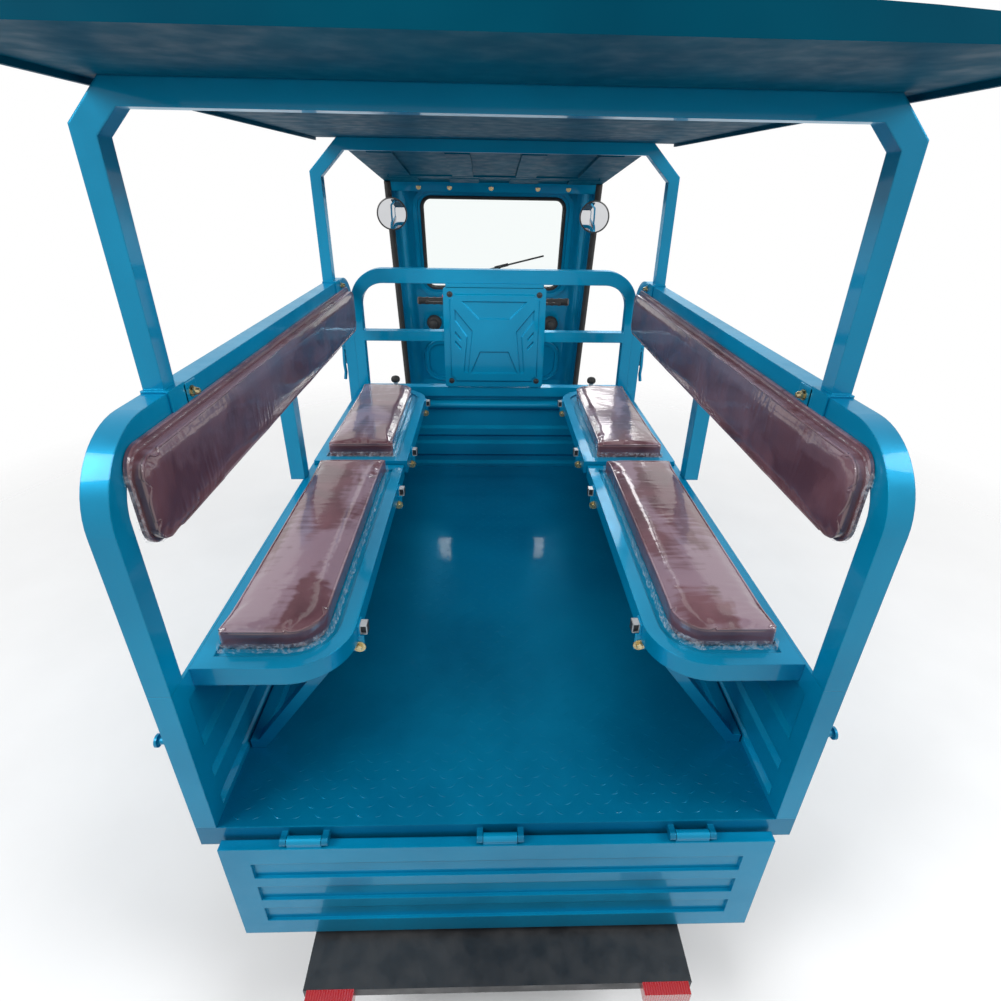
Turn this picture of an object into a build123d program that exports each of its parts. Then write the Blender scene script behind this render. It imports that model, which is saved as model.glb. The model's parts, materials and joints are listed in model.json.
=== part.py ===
from build123d import *
import math
import os

# Electric auto rickshaw, all sizes in mm.
# Working frame: x to the right, y forward from the rear end of the load bed, z up from the ground.
# The parts are moved along y on export so that the origin lies under the middle of the vehicle.

# Driving sizes
TYRE_R = 245.0
TYRE_W = 90.0
BED_LENGTH = 1618.0
BED_HALF = 550.0
TUBE = 40.0
ROOF_RISE = 1240.0
RAKE = 24.0

# Load bed, heights above its floor
FLOOR_T = 12.0
BEARER = 40.0
BED_OUTER = BED_HALF + TUBE
FLOOR_Z = 2 * TYRE_R + 100.0
BEARER_Z = FLOOR_Z - FLOOR_T - BEARER
WALL_H = 353.0
WALL_SHEET = 6.0
WALL_RIB = 10.0
FRONT_WALL_H = 369.0
FRONT_WALL_T = 18.0
BEAD_H = 287.0
BEAD_R = 22.0
PEG_H = 225.0
PEG_R = 7.0
PEG_REACH = 26.0
GUARD_Y = BED_LENGTH - TUBE

# Tailgate, hung on pins below the floor's rear edge
GATE_H = 300.0
GATE_T = 20.0
GATE_AXIS_Y = -15.0
GATE_AXIS_DROP = 20.0
GATE_GAP = 5.0
GATE_RIB = 6.0
PIN_R = 5.0
PIN_PLAY = 0.4
KNUCKLE_R = 9.0
KNUCKLE = 66.0
EAR_T = 12.0
HINGE_X = (-0.69 * BED_HALF, 0.0, 0.69 * BED_HALF)

# Side hoops and back pads
HOOP_H = 807.0
HOOP_BEND = 140.0
MID_POST_Y = 0.485 * BED_LENGTH
PAD_T = 25.0
PAD_R = 40.0
BACK_PAD_Z = (HOOP_H - 199.0, HOOP_H - 42.0)
BACK_PAD_Y = (52.0, BED_LENGTH - 88.0)

# Front guard behind the driver
GUARD_H = 828.0
GUARD_TUBE = 38.0
GUARD_BAR = 52.0
GUARD_BEND = 125.0
CROSSBAR_Z = (557.0, 596.0)
PANEL_HALF = 0.36 * BED_HALF
PANEL_Z = (FRONT_WALL_H + 3.0, GUARD_H - 63.0)
PANEL_T = 6.0
PANEL_STEP = 5.0
PANEL_R = 12.0

# Benches
BENCH_TUBE = 40.0
BENCH_RIM = 30.0
BENCH_BEND = 112.0
BENCH_PAD_T = 45.0
BENCH_PAD_INSET = 44.0
BENCH_SEAT = 7.0
BENCH_SPLIT = 0.545 * BED_LENGTH
LEG_BAR = 28.0
LEG_FOOT = 24.0
BENCHES = {
    # name: (rear y, front y, height above floor, inner edge, rounded end)
    "rear": (63.0, BENCH_SPLIT - 2.0, 353.0, BED_HALF - 270.0, "rear"),
    "front": (BENCH_SPLIT + 2.0, BED_LENGTH - 62.0, 365.0, BED_HALF - 280.0, "front"),
}

# Roof bows, standing on the hoops, and the roof on them
BOW = 35.0
BOW_OUTER = BED_OUTER + 2.0
SADDLE_T = 4.0
SADDLE_H = 36.0
SADDLE_MARGIN = 9.0
BOWS = {
    # name: (rear y, how far the sloping shoulder drops)
    "rear": (223.0, 55.0),
    "front": (BED_LENGTH - 243.0, 95.0),
}
ROOF_HALF = BED_OUTER - 15.0
ROOF_T = 14.0
ROOF_CROWN = 22.0
ROOF_LIP = 8.0
ROOF_BEADS = 7
ROOF_BEAD_RISE = 6.0
ROOF_REAR_Y = -70.0
ROOF_FRONT_Y = BOWS["front"][0] + BOW

# Cab, heights above the bed floor and lengths ahead of the bed
CAB_HALF = BED_HALF - 60.0
CAB_FLOOR_Z = FLOOR_Z - 240.0
CAB_FLOOR_T = 20.0
CAB_RAIL_Z = CAB_FLOOR_Z - CAB_FLOOR_T
CAB_SKIN = 24.0
CAB_DEPTH = 150.0
CAB_EDGE_R = 90.0
CAB_RISE = ROOF_RISE - 120.0
CAB_TOP_Z = FLOOR_Z + CAB_RISE
CAB_TOP_Y = BED_LENGTH + 736.0
CAB_SILL_Z = FLOOR_Z + 0.07 * CAB_RISE
CAB_SILL_Y = CAB_TOP_Y + 270.0
CAB_FOOT_Y = CAB_SILL_Y + 16.0
CAB_ROOF_T = 20.0
SCREEN_HALF = CAB_HALF - 145.0
SCREEN_Z = (FLOOR_Z + 0.555 * CAB_RISE, FLOOR_Z + 0.941 * CAB_RISE)
SCREEN_R = 45.0
GLASS_T = 6.0
BEAD_RISE = 9.0
BEAD_W = 22.0
APRON_Z = (FLOOR_Z + 0.07 * CAB_RISE, FLOOR_Z + 0.29 * CAB_RISE)
APRON_HALF = 0.78 * CAB_HALF
APRON_R = 90.0
LAMP_X = CAB_HALF - 172.0
LAMP_Z = FLOOR_Z + 0.386 * CAB_RISE
LAMP_R = 78.0
LAMP_SOCKET_R = 36.0
LAMP_DEPTH = 26.0
MIRROR_X = CAB_HALF - 32.0
MIRROR_Y = CAB_TOP_Y - 194.0
MIRROR_Z = FLOOR_Z + 0.882 * CAB_RISE
MIRROR_R = 68.0
MIRROR_BACK = 26.0
STALK_R = 7.0
WIPER_X = -40.0
WIPER_ARM = 154.0
WIPER_ARM_ANGLE = 58.0
WIPER_BLADE = 284.0
WIPER_BLADE_ANGLE = 14.4
WIPER_HOLDER = 70.0
NOSE_Z = FLOOR_Z - 30.0
NOSE_HALF = CAB_HALF - 180.0

# Driver's seat
SEAT_Z = FLOOR_Z + 90.0
SEAT_Y = (BED_LENGTH + 22.0, BED_LENGTH + 367.0)
SEAT_HALF = 250.0
SEAT_PAD_T = 65.0
SEAT_SKIN = 14.0
SEAT_R = 45.0
BACK_REST_T = 48.0

# Running gear
RIM_R = 155.0
RIM_WALL = 12.0
HUB_R = 40.0
FRONT_AXLE_Y = BED_LENGTH + 942.0
REAR_AXLE_Y = 480.0
TRACK_HALF = BED_HALF - 80.0
AXLE_R = 15.0
AXLE_TUBE_R = 32.0
AXLE_PLAY = 0.4
DIFF_R = 95.0
DIFF_HALF = 75.0
MOTOR_R = 78.0
MOTOR_Y = REAR_AXLE_Y + DIFF_R + 80.0
RAIL_X = 0.52 * BED_HALF
RAIL_W = 50.0
RAIL_H = 80.0
RAIL_Z = BEARER_Z - RAIL_H
SPRING_REACH = 330.0
SPRING_EYE_Z = RAIL_Z - 58.0
SPRING_LEAF = 7.0
SPRING_LEAVES = 4
EYE_R = 16.0
MUDGUARD_T = 10.0
MUDGUARD_GAP = 22.0
MUDGUARD_FLARE = 20.0
STEP_REACH = 120.0
STEP_HALF = 400.0
STEP_Z = 240.0
STEP_T = 25.0
LAMP_T = 22.0
LAMP_W = 96.0

# Steering, distances along its axis from the front wheel centre
HEAD = (TYRE_R + 205.0, TYRE_R + 365.0)
HEAD_R = 34.0
STEM_R = 18.0
NECK_HALF = 28.0
LEG_X = 78.0
LEG_R = 20.0
SLIDER_R = 25.0
FRONT_AXLE_R = 8.0
CLAMP_T = 32.0
CLAMP_D = 62.0
COLUMN = TYRE_R + 740.0
BAR_R = 11.0
BAR_BEND = 45.0
BAR_HALF = CAB_HALF - 145.0
BAR_STRAIGHT = 0.32 * BAR_HALF
GRIP_BACK = 104.0
GRIP_RISE = 61.0
GRIP_R = 17.0
GRIP_LENGTH = 124.0

# Outline of the guard panel's stampings as shares of its half width and half height
PANEL_BOWL = [(-0.64, 0.74), (0.64, 0.74), (0.31, 0.40), (-0.31, 0.40)]
PANEL_TRAPEZE = [(-0.29, -0.25), (0.29, -0.25), (0.48, -0.70), (-0.48, -0.70)]
PANEL_ARM = [(-0.78, 0.59), (-0.43, 0.16), (-0.52, -0.69), (-0.62, -0.69), (-0.55, 0.05), (-0.78, 0.37)]
PANEL_SLASHES = [(0.16, 0.02), (-0.02, -0.16)]
PANEL_FIELD = 0.88

REAR_END_Y = -STEP_REACH - LAMP_T
FRONT_END_Y = FRONT_AXLE_Y + TYRE_R
Y_MID = (REAR_END_Y + FRONT_END_Y) / 2
AXIS_DY = -math.sin(math.radians(RAKE))
AXIS_DZ = math.cos(math.radians(RAKE))


# Helpers

def box(x, y, z):
    """A block from three (low, high) pairs."""
    size = (x[1] - x[0], y[1] - y[0], z[1] - z[0])
    return Pos((x[0] + x[1]) / 2, (y[0] + y[1]) / 2, (z[0] + z[1]) / 2) * Box(*size)


def above(z):
    """A (low, high) pair given above the bed floor."""
    return (FLOOR_Z + z[0], FLOOR_Z + z[1])


def side_plate(points, x):
    """A (y, z) outline extruded between two x values."""
    face = make_face(Polyline(*points, close=True))
    return Pos(x[0], 0, 0) * extrude(Plane.YZ * face, x[1] - x[0])


def cross_plate(points, y):
    """An (x, z) outline extruded between two y values."""
    face = make_face(Polyline(*points, close=True))
    return Pos(0, y[0], 0) * extrude(Plane.XZ * face, y[0] - y[1])


def rod_x(x, y, z, radius):
    """A round bar along x."""
    return Pos((x[0] + x[1]) / 2, y, z) * Rot(0, 90, 0) * Cylinder(radius, x[1] - x[0])


def turned(profile, axis_frame):
    """A (radius, height) outline turned about the z axis of a frame."""
    face = make_face(Polyline(*profile, close=True))
    return axis_frame * revolve(Plane.XZ * face, Axis.Z)


def both(shape):
    """The shape and its mirror image on the other side."""
    return [shape, mirror(shape, Plane.YZ)]


def round_corners(shape, axis, radius, pick):
    """Fillet the edges along one axis that pick accepts."""
    edges = [e for e in shape.edges().filter_by(axis) if pick(e.center())]
    return fillet(edges, radius)


def save(name, shapes):
    """Write one subcomponent, moved into the vehicle's own frame."""
    solids = []
    for shape in shapes:
        solids.extend(shape.solids())
    moved = [Pos(0, -Y_MID, 0) * solid for solid in solids]
    part = moved[0] if len(moved) == 1 else Compound(children=moved)
    part.label = name
    export_step(part, os.path.join("parts", name + ".step"))


# Bed floor, bearers and the tailgate pins

def bed_floor():
    floor = box((-BED_OUTER, BED_OUTER), (0, BED_LENGTH), (FLOOR_Z - FLOOR_T, FLOOR_Z))
    bearer_z = (BEARER_Z, FLOOR_Z - FLOOR_T)
    for y in (0, 0.24 * BED_LENGTH, 0.62 * BED_LENGTH, BED_LENGTH - BEARER):
        floor += box((-BED_OUTER, BED_OUTER), (y, y + BEARER), bearer_z)
    for side in (-1, 1):
        edge = sorted((side * BED_OUTER, side * (BED_OUTER - BEARER)))
        floor += box(edge, (0, BED_LENGTH), bearer_z)
    axis_z = FLOOR_Z - GATE_AXIS_DROP
    half = KNUCKLE / 2 + EAR_T + 1
    for x in HINGE_X:
        floor += rod_x((x - half + 4, x + half - 4), GATE_AXIS_Y, axis_z, PIN_R)
        for ear in (x - half, x + half - EAR_T):
            ear_x = (ear, ear + EAR_T)
            floor += box(ear_x, (GATE_AXIS_Y, 0), (axis_z - KNUCKLE_R + 1, axis_z + KNUCKLE_R - 1))
            floor += rod_x(ear_x, GATE_AXIS_Y, axis_z, KNUCKLE_R)
    return floor


def tailgate():
    axis_z = FLOOR_Z - GATE_AXIS_DROP
    top = axis_z - KNUCKLE_R - 2
    y = (GATE_AXIS_Y - GATE_T / 2, GATE_AXIS_Y + GATE_T / 2)
    half = BED_HALF - GATE_GAP
    gate = box((-half, half), y, (top - GATE_H, top))
    for share in (0.16, 0.42, 0.68):
        groove_z = (top - GATE_H * (share + 0.16), top - GATE_H * share)
        for face in ((y[0], y[0] + GATE_RIB), (y[1] - GATE_RIB, y[1])):
            gate -= box((-half + 55, half - 55), face, groove_z)
    for x in HINGE_X:
        knuckle_x = (x - KNUCKLE / 2, x + KNUCKLE / 2)
        gate += box(knuckle_x, (GATE_AXIS_Y - KNUCKLE_R + 1, GATE_AXIS_Y + KNUCKLE_R - 1), (top - 2, axis_z))
        gate += rod_x(knuckle_x, GATE_AXIS_Y, axis_z, KNUCKLE_R)
        gate -= rod_x(knuckle_x, GATE_AXIS_Y, axis_z, PIN_R + PIN_PLAY)
    return gate


# Side walls: corrugated sheet between two corner posts, with a peg that the tailgate's chain hooks on

def rib_line(ribs, top, depth):
    """The (depth, height) line of a pressed sheet with sloping flanks, proud at the ribs."""
    line = []
    for low, high in ribs:
        line += [(depth, low - depth), (0, low), (0, high), (depth, high + depth)]
    inside = [(d, h) for d, h in line if 0 < h < top]
    return [(0, 0)] + inside + [(0, top)]


def side_wall():
    ribs = [(0, 0.04 * WALL_H), (0.13 * WALL_H, 0.27 * WALL_H), (0.35 * WALL_H, 0.52 * WALL_H),
            (0.86 * WALL_H, WALL_H)]
    line = rib_line(ribs, WALL_H, WALL_RIB)
    inner = [(BED_HALF + depth, FLOOR_Z + height) for depth, height in line]
    outer = [(x + WALL_SHEET, z) for x, z in reversed(inner)]
    wall = cross_plate(inner + outer, (TUBE, GUARD_Y))
    for y in (0, GUARD_Y):
        wall += box((BED_HALF, BED_OUTER), (y, y + TUBE), above((0, WALL_H)))
    peg_z = FLOOR_Z + PEG_H
    wall += rod_x((BED_OUTER, BED_OUTER + PEG_REACH), TUBE / 2, peg_z, PEG_R)
    wall += rod_x((BED_OUTER + PEG_REACH - 5, BED_OUTER + PEG_REACH), TUBE / 2, peg_z, 1.7 * PEG_R)
    return wall


def front_wall():
    back = BED_LENGTH - FRONT_WALL_T
    x = (-BED_HALF, BED_HALF)
    top = FLOOR_Z + FRONT_WALL_H
    ribs = [(0, 0.04 * FRONT_WALL_H), (0.16 * FRONT_WALL_H, 0.30 * FRONT_WALL_H),
            (0.41 * FRONT_WALL_H, 0.49 * FRONT_WALL_H)]
    line = rib_line(ribs, FRONT_WALL_H, WALL_RIB)
    rear = [(back - WALL_RIB + depth, FLOOR_Z + height) for depth, height in line]
    rear[-1] = (back, top)
    wall = side_plate(rear + [(BED_LENGTH, top), (BED_LENGTH, FLOOR_Z)], x)
    wall += box(x, (GUARD_Y, BED_LENGTH), (top - TUBE, top))
    bead_z = FLOOR_Z + BEAD_H
    bead = rod_x(x, back, bead_z, BEAD_R)
    return wall + (bead & box(x, (back - BEAD_R, BED_LENGTH), (bead_z - BEAD_R, bead_z + BEAD_R)))


# Side hoops, standing on the corner posts

def hoop():
    low = FLOOR_Z + WALL_H
    high = FLOOR_Z + HOOP_H
    x = (BED_HALF, BED_OUTER)
    outer = box(x, (0, BED_LENGTH), (low, high))
    outer = round_corners(outer, Axis.X, HOOP_BEND, lambda c: c.Z > high - 1)
    inner = box(x, (TUBE, BED_LENGTH - TUBE), (low, high - TUBE))
    inner = round_corners(inner, Axis.X, HOOP_BEND - TUBE, lambda c: c.Z > high - TUBE - 1)
    return outer - inner + box(x, (MID_POST_Y, MID_POST_Y + TUBE), (low, high - TUBE))


def back_pad():
    pad = box((BED_HALF - PAD_T, BED_HALF), BACK_PAD_Y, above(BACK_PAD_Z))
    return round_corners(pad, Axis.X, PAD_R, lambda c: True)


# Guard between bed and cab

def guard_frame():
    low = FLOOR_Z + FRONT_WALL_H
    high = FLOOR_Z + GUARD_H
    y = (GUARD_Y, BED_LENGTH)
    inner_half = BED_HALF - GUARD_TUBE
    outer = box((-BED_HALF, BED_HALF), y, (low, high))
    outer = round_corners(outer, Axis.Y, GUARD_BEND, lambda c: c.Z > high - 1)
    inner = box((-inner_half, inner_half), y, (low, high - GUARD_BAR))
    inner = round_corners(inner, Axis.Y, GUARD_BEND - GUARD_TUBE, lambda c: c.Z > high - GUARD_BAR - 1)
    frame = outer - inner + box((-inner_half, inner_half), y, above(CROSSBAR_Z))
    for side in (-1, 1):
        stay = sorted((side * (PANEL_HALF - 10), side * (PANEL_HALF - 10 - GUARD_TUBE)))
        frame += box(stay, y, (low, high - GUARD_BAR))
    return frame


def stamping(outline, y, flank):
    """An outline in shares of the guard panel, clockwise from behind, pressed between two y with sloping flanks."""
    mid = FLOOR_Z + sum(PANEL_Z) / 2
    half = (PANEL_Z[1] - PANEL_Z[0]) / 2
    points = [(u * PANEL_HALF, mid + v * half) for u, v in outline]
    face = Plane((0, y[0], 0), x_dir=(1, 0, 0), z_dir=(0, 1 if y[1] > y[0] else -1, 0))
    local = [(p[0], p[1] * face.y_dir.Z) for p in points]
    return face * extrude(make_face(Polyline(*local, close=True)), abs(y[1] - y[0]), taper=flank)


def guard_panel():
    back = GUARD_Y
    rim = back - PANEL_T
    field = rim - PANEL_STEP
    panel = box((-PANEL_HALF, PANEL_HALF), (rim, back), above(PANEL_Z))
    panel = round_corners(panel, Axis.Y, PANEL_R, lambda c: True)
    edge = PANEL_FIELD
    panel += stamping([(-edge, -edge), (edge, -edge), (edge, edge), (-edge, edge)], (rim, field), 40)
    floor = (field, field + 0.9 * PANEL_STEP)
    for outline in (PANEL_BOWL, PANEL_TRAPEZE):
        panel -= stamping(outline, floor, 30)
    slashes = [[(-0.78, high), (-0.66, low), (-0.66, low - 0.06), (-0.78, high - 0.06)]
               for high, low in PANEL_SLASHES]
    for outline in [PANEL_ARM] + slashes:
        for cut in both(stamping(outline, floor, 30)):
            panel -= cut
    mid = FLOOR_Z + sum(PANEL_Z) / 2
    half = (PANEL_Z[1] - PANEL_Z[0]) / 2
    for u in (-1, 1):
        for v in (-1, 1):
            spot = Pos(u * (PANEL_HALF - 28), field, mid + v * (half - 28)) * Rot(90, 0, 0)
            panel -= spot * Cylinder(17, 2 * PANEL_STEP)
    return panel


# Benches: a pressed frame with a pan, a pad and a U leg each

def bench_plan(rear, front, inner, end, inset, z):
    """A block inside a bench's plan by an inset, with the bench's one round corner."""
    near, far = inner + inset, BED_HALF - inset
    plan = box((near, far), (rear + inset, front - inset), z)
    round_y = rear + inset if end == "rear" else front - inset
    return round_corners(plan, Axis.Z, BENCH_BEND - inset,
                         lambda c: c.X < near + 1 and abs(c.Y - round_y) < 1)


def bench_frame(rear, front, height, inner, end):
    z = above((height - BENCH_TUBE, height))
    plan = (rear, front, inner, end)
    frame = bench_plan(*plan, 0, z)
    frame -= bench_plan(*plan, BENCH_RIM, (z[0], z[1] - 2 * BENCH_SEAT))
    return frame - bench_plan(*plan, BENCH_RIM, (z[1] - BENCH_SEAT, z[1]))


def bench_pad(rear, front, height, inner, end):
    low = FLOOR_Z + height - BENCH_SEAT
    block = bench_plan(rear, front, inner, end, BENCH_PAD_INSET, (low, low + BENCH_PAD_T))
    room = BENCH_RIM + 2
    wall_x = (BED_HALF - BENCH_PAD_INSET - 1, BED_HALF - room)
    inset = BENCH_PAD_INSET
    if end == "rear":
        straight = (rear + inset, front - room)
        end_y = (front - inset - 1, front - room)
    else:
        straight = (rear + room, front - inset)
        end_y = (rear + room, rear + inset + 1)
    block += box(wall_x, straight, (low, low + BENCH_PAD_T))
    return block + box((inner + BENCH_PAD_INSET, BED_HALF - room), end_y, (low, low + BENCH_PAD_T))


def bench_leg(rear, front, height, inner, end):
    top = FLOOR_Z + height - BENCH_TUBE
    foot_x = BED_HALF - 35
    strut = [(inner + 4, top), (inner + 34, top), (foot_x + 30, FLOOR_Z), (foot_x, FLOOR_Z)]
    margin = 0.14 * (front - rear)
    bar_y = (rear + margin, front - margin)
    leg = box((foot_x, foot_x + 30), bar_y, (FLOOR_Z, FLOOR_Z + LEG_FOOT))
    for y in (bar_y[0], bar_y[1] - LEG_BAR):
        leg += cross_plate(strut, (y, y + LEG_BAR))
    return leg


# Roof bows and roof panels

def bow(y, drop):
    top = FLOOR_Z + ROOF_RISE
    foot = FLOOR_Z + HOOP_H
    kink = top - drop
    shoulder = BOW_OUTER - drop
    cut = BOW * math.tan(math.radians(22.5))
    half = [
        (BOW_OUTER, foot), (BOW_OUTER, kink), (shoulder, top),
        (shoulder - cut, top - BOW), (BOW_OUTER - BOW, kink - cut), (BOW_OUTER - BOW, foot),
    ]
    mirrored = [(-x, z) for x, z in half]
    outline = half[:3] + mirrored[:3][::-1] + mirrored[3:][::-1] + half[3:]
    frame = cross_plate(outline, (y, y + BOW))
    saddle = box((BED_HALF - SADDLE_T, BOW_OUTER), (y - SADDLE_MARGIN, y + BOW + SADDLE_MARGIN),
                 (foot - SADDLE_H, foot + SADDLE_T))
    saddle -= box((BED_HALF, BED_OUTER), (y - 2 * SADDLE_MARGIN, y + BOW + 2 * SADDLE_MARGIN), (0, foot))
    for plate in both(saddle):
        frame += plate
    return frame


def roof_band(half, rise, y):
    """A crowned band across the roof, flat below, that stands a little proud of the roof's own arc."""
    edge = FLOOR_Z + ROOF_RISE + ROOF_T
    low = edge - ROOF_T
    crest = edge + ROOF_CROWN + rise
    under = Polyline((half, edge), (half, low), (-half, low), (-half, edge))
    face = make_face([*under.edges(), ThreePointArc((-half, edge), (0, crest), (half, edge))])
    return Pos(0, y[0], 0) * extrude(Plane.XZ * face, y[0] - y[1])


def passenger_roof():
    """A crowned sheet with turned-down side lips and beads pressed across it."""
    length = ROOF_FRONT_Y - ROOF_REAR_Y
    roof = roof_band(ROOF_HALF, 0, (ROOF_REAR_Y, ROOF_FRONT_Y))
    lip_z = (FLOOR_Z + ROOF_RISE - ROOF_LIP, FLOOR_Z + ROOF_RISE + ROOF_T / 2)
    for lip in both(box((ROOF_HALF - ROOF_T / 2, ROOF_HALF), (ROOF_REAR_Y, ROOF_FRONT_Y), lip_z)):
        roof += lip
    for k in range(ROOF_BEADS):
        y = ROOF_REAR_Y + length * (k + 0.5) / ROOF_BEADS
        roof += roof_band(0.93 * ROOF_HALF, ROOF_BEAD_RISE, (y - TUBE / 2, y + TUBE / 2))
    return roof


def cab_roof():
    rear_z = FLOOR_Z + ROOF_RISE
    ledge_y = CAB_TOP_Y - CAB_DEPTH
    lip_y = CAB_TOP_Y + 30
    under = [(ROOF_FRONT_Y, rear_z - CAB_ROOF_T), (ledge_y, CAB_TOP_Z)]
    points = under + [
        (lip_y, CAB_TOP_Z), (lip_y, CAB_TOP_Z + 8),
        (ledge_y + 30, CAB_TOP_Z + CAB_ROOF_T + 14), (ROOF_FRONT_Y, rear_z + 4),
    ]
    roof = side_plate(points, (-CAB_HALF, CAB_HALF))
    return roof + roof_ribs(under)


def roof_ribs(under):
    """Pressed ribs below the cab roof: long ones side by side, a toothed one across in front of them."""
    (y0, z0), (y1, z1) = under

    def strip(x, start, end, drop):
        y = [y0 + share * (y1 - y0) for share in (start, end)]
        z = [z0 + share * (z1 - z0) for share in (start, end)]
        outline = [(y[0], z[0]), (y[0] + drop, z[0] - drop), (y[1] - drop, z[1] - drop), (y[1], z[1])]
        return side_plate(outline, x)

    pitch = 2 * CAB_HALF / 7
    ribs = None
    for k in range(-3, 4, 2):
        low = k * pitch * 0.92 - 0.3 * pitch
        rib = strip((low, low + 0.6 * pitch), 0.08, 0.70, 9)
        rib += strip((low - 0.15 * pitch, low + 0.75 * pitch), 0.78, 0.94, 9)
        ribs = rib if ribs is None else ribs + rib
    return ribs + strip((-0.9 * CAB_HALF, 0.9 * CAB_HALF), 0.74, 0.82, 6)


# Cab shell with the windscreen opening

def cab_line(offset):
    """The front skin's side view, moved back by an offset."""
    return [(CAB_TOP_Y - offset, CAB_TOP_Z), (CAB_SILL_Y - offset, CAB_SILL_Z),
            (CAB_FOOT_Y - offset, CAB_FLOOR_Z)]


def skin_y(z):
    """Where the front skin is at a height above its sill."""
    share = (CAB_TOP_Z - z) / (CAB_TOP_Z - CAB_SILL_Z)
    return CAB_TOP_Y + share * (CAB_SILL_Y - CAB_TOP_Y)


def on_line(point, offset):
    """Whether a point lies on the front skin's side view."""
    top, sill, foot = cab_line(offset)
    if point.Z > CAB_SILL_Z:
        share = (point.Z - CAB_SILL_Z) / (CAB_TOP_Z - CAB_SILL_Z)
        return abs(point.Y - (sill[0] + (top[0] - sill[0]) * share)) < 2
    share = (point.Z - CAB_FLOOR_Z) / (CAB_SILL_Z - CAB_FLOOR_Z)
    return abs(point.Y - (foot[0] + (sill[0] - foot[0]) * share)) < 2


def framed(half, z, radius):
    """A prism along y with rounded corners that reaches through the whole cab front."""
    block = box((-half, half), (CAB_TOP_Y - CAB_DEPTH - 50, CAB_FOOT_Y + 100), z)
    return round_corners(block, Axis.Y, radius, lambda c: True)


def screen_prism(margin):
    z = (SCREEN_Z[0] - margin, SCREEN_Z[1] + margin)
    return framed(SCREEN_HALF + margin, z, SCREEN_R + margin)


def skin_slab(front, back):
    """The space between two offsets behind the front skin."""
    half = CAB_HALF - CAB_SKIN - CAB_EDGE_R / 2
    return side_plate(cab_line(front) + cab_line(back)[::-1], (-half, half))


def cab_block():
    """The cab front as a full block with its rounded front edges."""
    outer = side_plate(cab_line(0) + cab_line(CAB_DEPTH)[::-1], (-CAB_HALF, CAB_HALF))
    front = [e for e in outer.edges() if abs(abs(e.center().X) - CAB_HALF) < 1
             and e.length > 200 and on_line(e.center(), 0)]
    return fillet(front, CAB_EDGE_R)


def cab_cavity():
    """The room behind the skin, open to the rear and below."""
    half = CAB_HALF - CAB_SKIN
    low, mid, high = cab_line(CAB_SKIN)[::-1]
    head = CAB_TOP_Z - 40
    lean = (mid[0] - high[0]) / (CAB_TOP_Z - CAB_SILL_Z)
    points = [(high[0] + 40 * lean, head), mid, (low[0], low[1] - 1),
              (low[0] - 400, low[1] - 1), (high[0] - 400, head)]
    room = side_plate(points, (-half, half))
    front = [e for e in room.edges() if abs(abs(e.center().X) - half) < 1
             and e.length > 200 and on_line(e.center(), CAB_SKIN)]
    return fillet(front, CAB_EDGE_R - CAB_SKIN)


def cab_shell():
    shell = cab_block() - cab_cavity()
    behind = skin_slab(CAB_SKIN - 1, CAB_SKIN + BEAD_RISE)
    shell += (screen_prism(2 * BEAD_W) - screen_prism(BEAD_W)) & behind
    arch = framed(APRON_HALF, APRON_Z, APRON_R)
    arch -= framed(APRON_HALF - BEAD_W, (APRON_Z[0] + BEAD_W, APRON_Z[1] - BEAD_W), APRON_R - BEAD_W)
    shell += arch & behind
    shell -= screen_prism(0)
    shell -= box((-NOSE_HALF, NOSE_HALF), (CAB_TOP_Y, CAB_FOOT_Y + 10), (0, NOSE_Z))
    for x in (-LAMP_X, LAMP_X):
        shell -= lamp_barrel(x, LAMP_SOCKET_R, (-200, 200))
    return shell


def lamp_barrel(x, radius, y):
    """A round bar along y at a headlamp, from and to distances ahead of the skin."""
    return Pos(x, skin_y(LAMP_Z) + sum(y) / 2, LAMP_Z) * Rot(90, 0, 0) * Cylinder(radius, y[1] - y[0])


def headlamp():
    """A bezel ring with a domed lens and a socket through the skin."""
    reach = LAMP_DEPTH + 18
    dome = [(0, -60), (LAMP_R, -60), (LAMP_R, LAMP_DEPTH), (LAMP_R - 9, LAMP_DEPTH + 4),
            (LAMP_R - 12, LAMP_DEPTH - 2), (0.6 * LAMP_R, reach - 8), (0.3 * LAMP_R, reach - 2), (0, reach)]
    frame = Pos(LAMP_X, skin_y(LAMP_Z), LAMP_Z) * Rot(-90, 0, 0)
    bezel = turned(dome, frame) - cab_block()
    return bezel + lamp_barrel(LAMP_X, LAMP_SOCKET_R, (-58, 20))


def side_mirror():
    """A round shell with a rolled rim and a domed back, on a stalk from the pillar."""
    back = MIRROR_BACK
    shell = [(0, -6), (MIRROR_R - 5, -6), (MIRROR_R - 5, -12), (MIRROR_R, -10), (MIRROR_R, -2),
             (0.85 * MIRROR_R, 0.6 * back), (0.5 * MIRROR_R, 0.9 * back), (0, back)]
    mirror_frame = Pos(MIRROR_X, MIRROR_Y, MIRROR_Z) * Rot(-90, 0, 0)
    stalk = Pos(CAB_HALF - 12, MIRROR_Y + 60, MIRROR_Z) * Rot(90, 0, 0) * Cylinder(STALK_R, 120)
    return turned(shell, mirror_frame) + stalk - cab_block()


def mirror_glass():
    return Pos(MIRROR_X, MIRROR_Y - 7.5, MIRROR_Z) * Rot(90, 0, 0) * Cylinder(MIRROR_R - 5.5, 3)


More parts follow.
